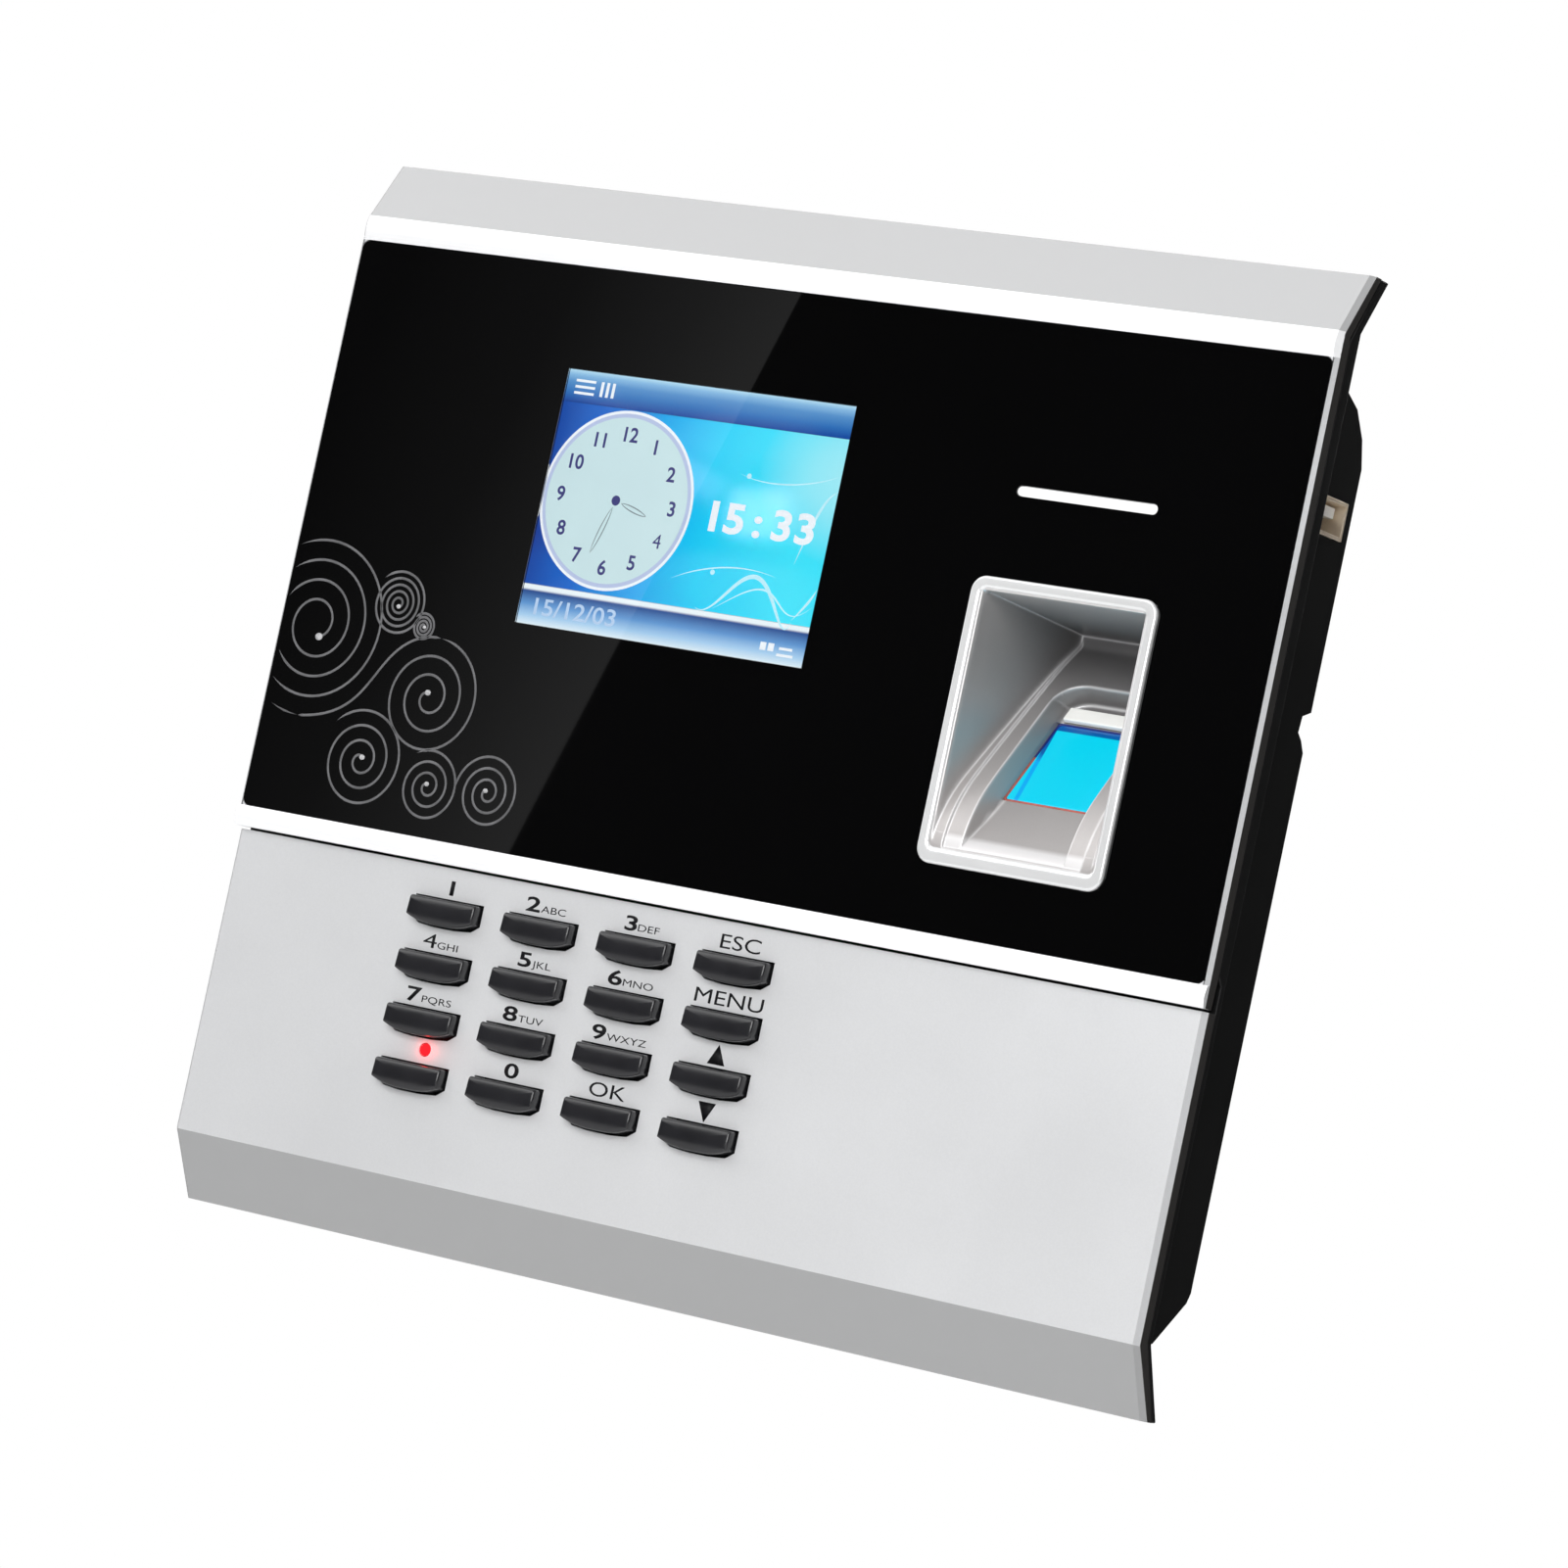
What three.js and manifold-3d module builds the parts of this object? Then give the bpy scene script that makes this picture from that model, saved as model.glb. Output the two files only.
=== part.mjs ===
// Wall-mounted fingerprint terminal: a black case and front chassis with a silver front frame, a glass panel
// with a colour display, a finger cavity with a glowing sensor, and a keypad of sixteen keys, hung on a steel
// wall plate.
// Millimetres. X runs to the right of someone facing the terminal, Y points back to the wall and Z is up.
// The origin lies on the wall side of the wall plate, so the wall is the plane Y = 0.
import * as THREE from "three";
import { mergeVertices } from "three/addons/utils/BufferGeometryUtils.js";
import Module from "manifold-3d";

const wasm = await Module();
wasm.setup();

// ---- driving dimensions ----
const HALF_WIDTH = 95;
const WING_TOP = 90;
const WING_BOTTOM = -89.9;
const GLASS_FRONT = -39;
const GLASS_THICK = 1.6;
const GLASS_TOP = 75.7;
const GLASS_BOTTOM = -22.8;
const GLASS_HALF = 94.3;
const GLASS_CORNER = 1.5;
const BEAD_TOP = 79.85;
const BEAD_BOTTOM = -26.3;
const BEAD_BULGE = 0.4;
const END_CHAMFER = 0.9;
const PLATE_FRONT = -37.6;
const PLATE_TOP = -26.75;
const PLATE_BACK = -34.7;
const FOLD = -78.5;
const CHASSIS_BACK = -33.2;
const CASE_HALF = 83;
const CASE_TOP = 75;
const CASE_FRONT = -32.9;
const CASE_BACK = -2;
const CASE_FLOOR = -4.2;
const WALL = 2;
const GAP = 0.3;
const THROUGH = 1;

const SCREEN = { x0: -46.6, x1: 10.65, z0: 15.2, z1: 58.4 };
const LIGHT = { x0: 43.5, x1: 69.1, z: 48.5, thick: 1.5 };
const BEZEL = { x0: 39.1, x1: 73.3, z0: -11.95, z1: 34.4, rim: 2.1, proud: 0.7, back: -8.5, inset: 0.9 };
const BEZEL_X = (BEZEL.x0 + BEZEL.x1) / 2;
const CAVITY = { front: -41, back: -11.2, toe: -9.1, draft: 3 };

const RAMP_TILT = THREE.MathUtils.degToRad(40.5);
const RAMP_FOOT = { y: GLASS_FRONT, z: -2.9 };
const RECESS = { width: 19, top: 32.3, depth: 4.2, radius: 5 };
const SENSOR = { width: 17, low: 8, high: 27, thick: 2.2 };
const RAMP_FLOOR = 7.2;

const KEY = { width: 13.5, height: 4.4, front: -40, chamfer: 0.5, back: -33.7, travel: 1 };
const KEY_LEFT = -55.35;
const KEY_STEP_X = 19.33;
const KEY_TOP = -32.2;
const KEY_STEP_Z = 9.15;
const KEY_NAMES = [
  ["key_1", "key_2", "key_3", "key_esc"],
  ["key_4", "key_5", "key_6", "key_menu"],
  ["key_7", "key_8", "key_9", "key_up"],
  ["key_power", "key_0", "key_ok", "key_down"],
];
const LED = { x: -47.2, z: -57, radius: 1 };
const PAD = { x0: -62, x1: 24, z0: -68, z1: -28 };

const HANGER = { x0: -81, x1: 81, z0: -67.1, z1: 17.5, thick: 1.5 };
const HOOK_X = [-50, 50];
const HOOK_Z = [5, -50];
const HOOK = { width: 8, leg: 1.5, finger: 6, reach: 6.1 };
const LIFT = 5;
const KEYHOLE = { x: [-66, 66], z: [6, -40], head: 4.2, slot: 2.2, length: 8 };
const CABLE_HOLE = { x0: -27, x1: 29, z0: -53, z1: -22 };
const PORTS = { x0: -15, x1: 17, z0: -47, z1: -33 };
const CASE_SCREWS = [
  ["case_screw_1", -76, 43],
  ["case_screw_2", 76, 43],
  ["case_screw_3", -76, -56],
  ["case_screw_4", 76, -56],
];
const SCREW = { shank: 1.4, head: 2.8, headHeight: 2, cross: 1.6, slot: 0.3, deep: 0.9, boss: 4.6 };
const BOARD_POSTS = { x: [-66, 28], z: [62, -14], radius: 2.5 };
const LOCK = { y: -8.5, low: -75.8, tip: -63 };
const TAB = { half: 6, z: -61, reach: -12.5 };
const TAMPER = { x: 22, z: -30, radius: 1.5, travel: 1.5, face: -10.8 };
const USB = { x0: 70, x1: 83.6, y0: -18.2, y1: -5.1, z0: 52.1, z1: 57.8, wall: 0.35 };
const SPEAKER = { x: 8, z: 48, radius: 14, slots: 7, pitch: 3.2, slotHalf: 9, slotThick: 1.4 };
const BOARD = { y0: -25, y1: -23.4 };

// ---- finishes ----
function finish(color, roughness, metalness) {
  return new THREE.MeshStandardMaterial({ color, roughness, metalness });
}

const SILVER = finish(0xd6d8d9, 0.35, 0.5);
const BLACK = finish(0x0c0c0e, 0.45, 0);
const GLOSS_BLACK = finish(0x050506, 0.05, 0);
const BRIGHT_SILVER = finish(0xc9cbcd, 0.25, 0.8);
const KEY_GREY = finish(0x2c2c30, 0.5, 0);
const STEEL = finish(0xb4b6b8, 0.35, 1);
const GREEN_BOARD = finish(0x1d6b3a, 0.6, 0);
const RUBBER = finish(0x3a3a3c, 0.9, 0);
const CYAN = finish(0x00e1ff, 0.2, 0);
const WHITE = finish(0xf4f4f4, 0.4, 0);
const RED = finish(0xe02020, 0.3, 0);
const AMBER = finish(0xb07030, 0.5, 0.2);
const BLUE = finish(0x2b62c8, 0.3, 0);

// ---- shapes and solids ----
// A closed three.js geometry as a solid that can be joined and cut.
function solidOf(geometry) {
  const bare = geometry.clone();
  bare.deleteAttribute("normal");
  bare.deleteAttribute("uv");
  const merged = mergeVertices(bare, 1e-4);
  const shape = new wasm.Mesh({
    numProp: 3,
    vertProperties: new Float32Array(merged.attributes.position.array),
    triVerts: new Uint32Array(merged.index.array),
  });
  return new wasm.Manifold(shape);
}

function meshOf(name, solid, material) {
  const shape = solid.getMesh();
  const geometry = new THREE.BufferGeometry();
  geometry.setAttribute("position", new THREE.BufferAttribute(shape.vertProperties, 3));
  geometry.setIndex(new THREE.BufferAttribute(shape.triVerts, 1));
  geometry.computeVertexNormals();
  const mesh = new THREE.Mesh(geometry, material);
  mesh.name = name;
  return mesh;
}

const joined = (solids) => solids.reduce((whole, piece) => whole.add(piece));
const without = (solid, cuts) => cuts.reduce((rest, cut) => rest.subtract(cut), solid);

function block(x0, x1, y0, y1, z0, z1) {
  const geometry = new THREE.BoxGeometry(x1 - x0, y1 - y0, z1 - z0);
  geometry.translate((x0 + x1) / 2, (y0 + y1) / 2, (z0 + z1) / 2);
  return solidOf(geometry);
}

// A round bar along Y ("y") or Z ("z"), from a to b, centred on (u, v) in the other two axes.
function bar(axis, radius, a, b, u, v, sides = 20) {
  const geometry = new THREE.CylinderGeometry(radius, radius, Math.abs(b - a), sides);
  const middle = (a + b) / 2;
  if (axis === "z") {
    geometry.rotateX(Math.PI / 2);
    geometry.translate(u, v, middle);
  } else {
    geometry.translate(u, middle, v);
  }
  return solidOf(geometry);
}

// A side profile, as points (y, z), carried along X from x0 to x1.
function sideProfile(points, x0, x1) {
  const shape = new THREE.Shape(points.map(([y, z]) => new THREE.Vector2(y, z)));
  const geometry = new THREE.ExtrudeGeometry(shape, { depth: x1 - x0, bevelEnabled: false });
  const basis = new THREE.Matrix4().makeBasis(
    new THREE.Vector3(0, 1, 0),
    new THREE.Vector3(0, 0, 1),
    new THREE.Vector3(1, 0, 0),
  );
  geometry.applyMatrix4(basis);
  geometry.translate(x0, 0, 0);
  return solidOf(geometry);
}

// A side profile carried from one end of the terminal to the other, whose first "facing" points, its front
// ones, are set back at both ends, so that the front edges are chamfered there.
function chamferedProfile(points, facing) {
  const setBack = points.map(([y, z], i) => [i < facing ? y + END_CHAMFER : y, z]);
  const stations = [
    [-HALF_WIDTH, setBack],
    [-HALF_WIDTH + END_CHAMFER, points],
    [HALF_WIDTH - END_CHAMFER, points],
    [HALF_WIDTH, setBack],
  ];
  const count = points.length;
  const vertices = stations.flatMap(([x, section]) => section.flatMap(([y, z]) => [x, y, z]));
  const triangles = [];
  for (let k = 0; k + 1 < stations.length; k += 1) {
    for (let i = 0; i < count; i += 1) {
      const a = k * count + i;
      const b = k * count + ((i + 1) % count);
      triangles.push(a, b, a + count, b, b + count, a + count);
    }
  }
  const last = (stations.length - 1) * count;
  const flat = setBack.map(([y, z]) => new THREE.Vector2(y, z));
  for (const [a, b, c] of THREE.ShapeUtils.triangulateShape(flat, [])) {
    triangles.push(a, c, b, last + a, last + b, last + c);
  }
  const geometry = new THREE.BufferGeometry();
  geometry.setAttribute("position", new THREE.Float32BufferAttribute(vertices, 3));
  geometry.setIndex(triangles);
  return solidOf(geometry);
}

// A plan outline, as points (x, y), carried along Z from z0 to z1.
function planProfile(points, z0, z1) {
  const shape = new THREE.Shape(points.map(([x, y]) => new THREE.Vector2(x, y)));
  const geometry = new THREE.ExtrudeGeometry(shape, { depth: z1 - z0, bevelEnabled: false });
  geometry.translate(0, 0, z0);
  return solidOf(geometry);
}

// A front outline, drawn in (x, z), carried along Y from y0 to y1, with an optional chamfer at both ends.
function frontOutline(shape, y0, y1, chamfer = 0, segments = 5) {
  const geometry = new THREE.ExtrudeGeometry(shape, {
    depth: y1 - y0 - 2 * chamfer,
    bevelEnabled: chamfer > 0,
    bevelSize: chamfer,
    bevelThickness: chamfer,
    bevelOffset: -chamfer,
    bevelSegments: 1,
    curveSegments: segments,
  });
  const basis = new THREE.Matrix4().makeBasis(
    new THREE.Vector3(1, 0, 0),
    new THREE.Vector3(0, 0, 1),
    new THREE.Vector3(0, -1, 0),
  );
  geometry.applyMatrix4(basis);
  geometry.translate(0, y1 - chamfer, 0);
  return solidOf(geometry);
}

function roundedBox(x0, x1, z0, z1, radius) {
  const shape = new THREE.Shape();
  shape.moveTo(x0 + radius, z0);
  shape.lineTo(x1 - radius, z0);
  shape.absarc(x1 - radius, z0 + radius, radius, -Math.PI / 2, 0);
  shape.lineTo(x1, z1 - radius);
  shape.absarc(x1 - radius, z1 - radius, radius, 0, Math.PI / 2);
  shape.lineTo(x0 + radius, z1);
  shape.absarc(x0 + radius, z1 - radius, radius, Math.PI / 2, Math.PI);
  shape.lineTo(x0, z0 + radius);
  shape.absarc(x0 + radius, z0 + radius, radius, Math.PI, 1.5 * Math.PI);
  return shape;
}

// Points of a shallow arc bulging towards the front between two heights, for the bright beads.
function beadArc(zTop, zBottom, y, bulge, steps = 6) {
  const points = [];
  for (let i = 0; i <= steps; i += 1) {
    const t = i / steps;
    points.push([y - bulge * Math.sin(Math.PI * t), zTop + (zBottom - zTop) * t]);
  }
  return points;
}

// Outline of a key cap: straight top and sides, and an underside that bellies down between cut corners.
function keyOutline(cx, top, grow) {
  const half = KEY.width / 2 + grow;
  const shape = new THREE.Shape();
  shape.moveTo(cx - half, top + grow);
  shape.lineTo(cx - half, top - 3.3);
  shape.lineTo(cx - half + 1.6, top - 4.1 - grow);
  shape.lineTo(cx - half + 5, top - KEY.height - grow);
  shape.lineTo(cx + half - 5, top - KEY.height - grow);
  shape.lineTo(cx + half - 1.6, top - 4.1 - grow);
  shape.lineTo(cx + half, top - 3.3);
  shape.lineTo(cx + half, top + grow);
  return shape;
}

// ---- the sloped frame of the finger ramp: x stays, v runs up the ramp, n goes in through it ----
const UP_RAMP = new THREE.Vector3(0, Math.sin(RAMP_TILT), Math.cos(RAMP_TILT));
const INTO_RAMP = new THREE.Vector3(0, Math.cos(RAMP_TILT), -Math.sin(RAMP_TILT));

// An outline in (x, v) carried through the ramp from depth n0 to depth n1.
function rampOutline(shape, n0, n1) {
  const depth = n1 - n0;
  const geometry = new THREE.ExtrudeGeometry(shape, { depth, bevelEnabled: false, curveSegments: 5 });
  const outOfRamp = INTO_RAMP.clone().negate();
  const basis = new THREE.Matrix4().makeBasis(new THREE.Vector3(1, 0, 0), UP_RAMP, outOfRamp);
  basis.setPosition(INTO_RAMP.clone().multiplyScalar(n1).add(new THREE.Vector3(0, RAMP_FOOT.y, RAMP_FOOT.z)));
  geometry.applyMatrix4(basis);
  return solidOf(geometry);
}

function rampBlock(halfWidth, v0, v1, n0, n1) {
  const shape = new THREE.Shape();
  shape.moveTo(BEZEL_X - halfWidth, v0);
  shape.lineTo(BEZEL_X + halfWidth, v0);
  shape.lineTo(BEZEL_X + halfWidth, v1);
  shape.lineTo(BEZEL_X - halfWidth, v1);
  return rampOutline(shape, n0, n1);
}

// ---- wall plate ----
// Pressed steel plate with a cable opening, four screw keyholes, four hooks and a tab for the lock screw.
function wallPlate() {
  const sheet = frontOutline(roundedBox(HANGER.x0, HANGER.x1, HANGER.z0, HANGER.z1, 4), -HANGER.thick, 0);
  const front = -HANGER.thick - THROUGH;
  const { x0, x1, z0, z1 } = CABLE_HOLE;
  const cuts = [frontOutline(roundedBox(x0, x1, z0, z1, 4), front, THROUGH)];
  for (const x of KEYHOLE.x) {
    for (const z of KEYHOLE.z) {
      cuts.push(bar("y", KEYHOLE.head, front, THROUGH, x, z));
      cuts.push(block(x - KEYHOLE.slot, x + KEYHOLE.slot, front, THROUGH, z, z + KEYHOLE.length));
    }
  }
  const folds = [];
  for (const x of HOOK_X) {
    for (const z of HOOK_Z) {
      const side = HOOK.width / 2;
      folds.push(block(x - side, x + side, -HOOK.reach, -HANGER.thick + 0.2, z, z + HOOK.leg));
      folds.push(block(x - side, x + side, -HOOK.reach, -HOOK.reach + HOOK.leg, z, z + HOOK.finger));
    }
  }
  const tab = block(-TAB.half, TAB.half, TAB.reach, -HANGER.thick + 0.2, TAB.z, TAB.z + HANGER.thick);
  const tabHole = bar("z", SCREW.shank + 0.7, TAB.z - THROUGH, TAB.z + HANGER.thick + THROUGH, 0, LOCK.y);
  return without(joined([sheet, ...folds, tab]), [...cuts, tabHole]);
}

// ---- rear case and front chassis ----
const CASE_PROFILE = [
  [CASE_FRONT, CASE_TOP],
  [-11.9, CASE_TOP],
  [-7.4, 72.9],
  [-3.8, 68.7],
  [CASE_BACK, 64.2],
  [CASE_BACK, 24.5],
  [-4.6, 23.5],
  [-4.9, 20.8],
  [-3.4, 19.7],
  [CASE_BACK, 17.9],
  [CASE_BACK, -69.6],
  [-2.8, -71.3],
  [-11.1, FOLD],
  [CASE_FRONT, FOLD],
];
const CASE_INSIDE = [
  [-37, CASE_TOP - WALL],
  [-12.9, CASE_TOP - WALL],
  [-8.6, 70.8],
  [-5.4, 66.6],
  [CASE_FLOOR, 62.8],
  [CASE_FLOOR, 26],
  [-6.9, 24.8],
  [-6.9, 18.6],
  [CASE_FLOOR, 16.6],
  [CASE_FLOOR, -69],
  [-12, FOLD + WALL],
  [-37, FOLD + WALL],
];

function rearHousing() {
  const outside = sideProfile(CASE_PROFILE, -CASE_HALF, CASE_HALF);
  const inside = sideProfile(CASE_INSIDE, -CASE_HALF + WALL, CASE_HALF - WALL);
  const shell = outside.subtract(inside);

  const rooted = CASE_BACK - 0.5;
  const posts = CASE_SCREWS.map(([, x, z]) => bar("y", SCREW.boss, -29.8, rooted, x, z));
  for (const x of BOARD_POSTS.x) {
    for (const z of BOARD_POSTS.z) {
      posts.push(bar("y", BOARD_POSTS.radius, BOARD.y1, rooted, x, z, 12));
    }
  }
  posts.push(bar("z", SCREW.boss, FOLD - THROUGH, -69.5, 0, LOCK.y));
  const bosses = joined(posts).intersect(outside);
  return without(shell.add(bosses), [...screwCuts(), ...hangingCuts(), ...portCuts(), ...speakerSlots()]);
}

// Clearance holes and head recesses for the four case screws and the lock screw.
function screwCuts() {
  const cuts = [];
  for (const [, x, z] of CASE_SCREWS) {
    cuts.push(bar("y", SCREW.shank + GAP, -31, THROUGH, x, z, 16));
    cuts.push(bar("y", SCREW.head + GAP, CASE_FLOOR - 1, THROUGH, x, z));
  }
  const below = FOLD - 3.5;
  cuts.push(bar("z", SCREW.shank + GAP, below, -69, 0, LOCK.y, 16));
  cuts.push(bar("z", SCREW.head + GAP, below, LOCK.low + 2.5, 0, LOCK.y));
  return cuts;
}

// Slots that the wall plate's hooks and tab pass through, each long enough for the lift off the wall.
function hangingCuts() {
  const deep = CASE_FLOOR - 0.4;
  const cuts = [];
  for (const x of HOOK_X) {
    for (const z of HOOK_Z) {
      const side = HOOK.width / 2 + 0.5;
      cuts.push(block(x - side, x + side, deep, 0, z - LIFT - 0.4, z + HOOK.leg + 0.2));
    }
  }
  const side = TAB.half + 1;
  cuts.push(block(-side, side, deep, 0, TAB.z - LIFT - 0.4, TAB.z + HANGER.thick + 0.2));
  return cuts;
}

function portCuts() {
  const sideWall = CASE_HALF - WALL - 1;
  return [
    block(PORTS.x0, PORTS.x1, CASE_FLOOR - 0.4, 0, PORTS.z0, PORTS.z1),
    bar("y", TAMPER.radius + GAP, CASE_FLOOR - 2, THROUGH, TAMPER.x, TAMPER.z, 16),
    block(sideWall, CASE_HALF + 1, USB.y0 - GAP, USB.y1 + GAP, USB.z0 - GAP, USB.z1 + GAP),
  ];
}

function speakerSlots() {
  const { x, slots, pitch, slotHalf, slotThick } = SPEAKER;
  const side = slotThick / 2;
  const cuts = [];
  for (let i = 0; i < slots; i += 1) {
    const z = SPEAKER.z + (i - (slots - 1) / 2) * pitch;
    const outline = roundedBox(x - slotHalf, x + slotHalf, z - side, z + side, side - 0.01);
    cuts.push(frontOutline(outline, CASE_FLOOR - 2, 0, 0, 3));
  }
  return cuts;
}

// The black layer behind the silver pieces: it follows their folds, and is a frame round the case's mouth.
const CHASSIS_PROFILE = [
  [-30.1, WING_TOP],
  [-36, 78.9],
  [-36, -21],
  [-34.5, -22.5],
  [-34.5, -77.8],
  [-28.1, WING_BOTTOM],
  [-26.7, WING_BOTTOM],
  [CHASSIS_BACK, -78.2],
  [CHASSIS_BACK, 80.6],
  [-27.7, WING_TOP],
];

function frontChassis() {
  const half = CASE_HALF - WALL;
  const sheet = sideProfile(CHASSIS_PROFILE, -HALF_WIDTH, HALF_WIDTH);
  return sheet.subtract(block(-half, half, -40, -25, FOLD + WALL, CASE_TOP - WALL));
}

// ---- silver front pieces ----
// Upper frame: a swept wing, a bead above and below the glass, and a thin tray that the glass is bonded into.
function upperFrontFrame() {
  const tray = GLASS_FRONT + GLASS_THICK + 0.2;
  const back = -36.2;
  const groove = GLASS_FRONT + 0.15;
  const facing = [
    [-32.85, WING_TOP],
    [groove, BEAD_TOP + 0.2],
    ...beadArc(BEAD_TOP, GLASS_TOP, GLASS_FRONT, BEAD_BULGE),
  ];
  const profile = [
    ...facing,
    [tray, GLASS_TOP],
    [tray, GLASS_BOTTOM],
    ...beadArc(GLASS_BOTTOM, BEAD_BOTTOM, GLASS_FRONT, BEAD_BULGE),
    [-36.4, BEAD_BOTTOM],
    [back, -22],
    [back, 78],
    [-36.6, 79.2],
    [-30.45, WING_TOP],
  ];
  const frame = chamferedProfile(profile, facing.length);
  const lips = [-1, 1].map((side) => sideLip(side, back - 0.1));
  const bosses = [];
  const holes = [];
  for (const [, x, z] of CASE_SCREWS.slice(0, 2)) {
    bosses.push(bar("y", 3.4, back - 0.4, -30, x, z));
    holes.push(bar("y", SCREW.shank + 0.15, -35.5, -29, x, z, 16));
  }
  const windows = [
    block(SCREEN.x0 - 2, SCREEN.x1 + 2, -40, -35, SCREEN.z0 - 2, SCREEN.z1 + 2),
    block(BEZEL.x0 + 0.6, BEZEL.x1 - 0.6, -40, -35, BEZEL.z0 + 0.6, BEZEL.z1 - 0.6),
    block(LIGHT.x0 - 1.6, LIGHT.x1 + 1.6, -40, -35, LIGHT.z - 2.4, LIGHT.z + 2.4),
  ];
  return without(joined([frame, ...lips, ...bosses]), [...holes, ...windows]);
}

// The thin bright strip beside the glass, sloping back to the side, which turns round the glass's corners.
function sideLip(side, back) {
  const inner = GLASS_HALF + 0.05;
  const plan = [
    [side * inner, GLASS_FRONT],
    [side * HALF_WIDTH, GLASS_FRONT + HALF_WIDTH - inner],
    [side * HALF_WIDTH, back],
    [side * inner, back],
  ];
  const strip = planProfile(side > 0 ? plan : plan.reverse(), GLASS_BOTTOM - 0.5, GLASS_TOP + 0.5);
  const corner = side * (GLASS_HALF - GLASS_CORNER);
  const outer = side * (HALF_WIDTH - END_CHAMFER);
  const fills = [GLASS_TOP - GLASS_CORNER, GLASS_BOTTOM + GLASS_CORNER].map((z, i) => {
    const end = i === 0 ? GLASS_TOP + 0.5 : GLASS_BOTTOM - 0.5;
    const [x0, x1] = [corner, outer].sort((a, b) => a - b);
    const [z0, z1] = [z, end].sort((a, b) => a - b);
    const square = block(x0, x1, GLASS_FRONT, back, z0, z1);
    return square.subtract(bar("y", GLASS_CORNER + 0.05, -40, -35, corner, z, 32));
  });
  return joined([strip, ...fills]);
}

// Lower plate: flat silver keypad plate with a raked wing below its fold.
function lowerFaceplate() {
  const facing = [
    [PLATE_FRONT, PLATE_TOP],
    [PLATE_FRONT, FOLD],
    [-30.4, WING_BOTTOM],
  ];
  const profile = [...facing, [-28.3, WING_BOTTOM], [PLATE_BACK, FOLD + 0.6], [PLATE_BACK, PLATE_TOP]];
  const plate = chamferedProfile(profile, facing.length);
  const bosses = [];
  const holes = [bar("y", LED.radius + 0.2, -39, -33, LED.x, LED.z, 16)];
  for (const [, x, z] of CASE_SCREWS.slice(2)) {
    bosses.push(bar("y", 3.4, PLATE_BACK - 0.4, -30, x, z));
    holes.push(bar("y", SCREW.shank + 0.15, -34.4, -29, x, z, 16));
  }
  forEachKey((name, cx, top) => {
    holes.push(frontOutline(keyOutline(cx, top, GAP), -39, -33));
  });
  return without(joined([plate, ...bosses]), holes);
}

// ---- glass panel, its lens and the light bar ----
function glassPanel() {
  const outline = roundedBox(-GLASS_HALF, GLASS_HALF, GLASS_BOTTOM + 0.1, GLASS_TOP - 0.1, GLASS_CORNER);
  const panel = frontOutline(outline, GLASS_FRONT, GLASS_FRONT + GLASS_THICK);
  const windows = [
    block(SCREEN.x0, SCREEN.x1, -40, -36, SCREEN.z0, SCREEN.z1),
    block(BEZEL.x0 + 0.6, BEZEL.x1 - 0.6, -40, -36, BEZEL.z0 + 0.6, BEZEL.z1 - 0.6),
    frontOutline(lightOutline(0.1), -40, -36),
  ];
  return without(panel, windows);
}

function lightOutline(grow) {
  const half = LIGHT.thick / 2 + grow;
  return roundedBox(LIGHT.x0 - grow, LIGHT.x1 + grow, LIGHT.z - half, LIGHT.z + half, half - 0.01);
}

function displayLens() {
  const { x0, x1, z0, z1 } = SCREEN;
  const edge = 0.05;
  return block(x0 + edge, x1 - edge, GLASS_FRONT, GLASS_FRONT + 1.4, z0 + edge, z1 - edge);
}

// Light guide: a rib that fills the slot in the glass, on a wider foot behind it.
function lightBar() {
  const rib = frontOutline(lightOutline(0), GLASS_FRONT, -36.5);
  const foot = block(LIGHT.x0 - 1.2, LIGHT.x1 + 1.2, -37.1, -33, LIGHT.z - 2, LIGHT.z + 2);
  return rib.add(foot);
}

// ---- display ----
function lcdPanel() {
  return block(SCREEN.x0 - 1.4, SCREEN.x1 + 1.4, -37.4, -33.4, SCREEN.z0 - 1.4, SCREEN.z1 + 1.4);
}

// Sheet-metal can round the display.
function lcdFrame() {
  const can = block(SCREEN.x0 - 6, SCREEN.x1 + 6, -36, -32.4, SCREEN.z0 - 3.4, SCREEN.z1 + 3.4);
  return can.subtract(block(SCREEN.x0 - 1.6, SCREEN.x1 + 1.6, -38, -33.2, SCREEN.z0 - 1.6, SCREEN.z1 + 1.6));
}

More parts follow.
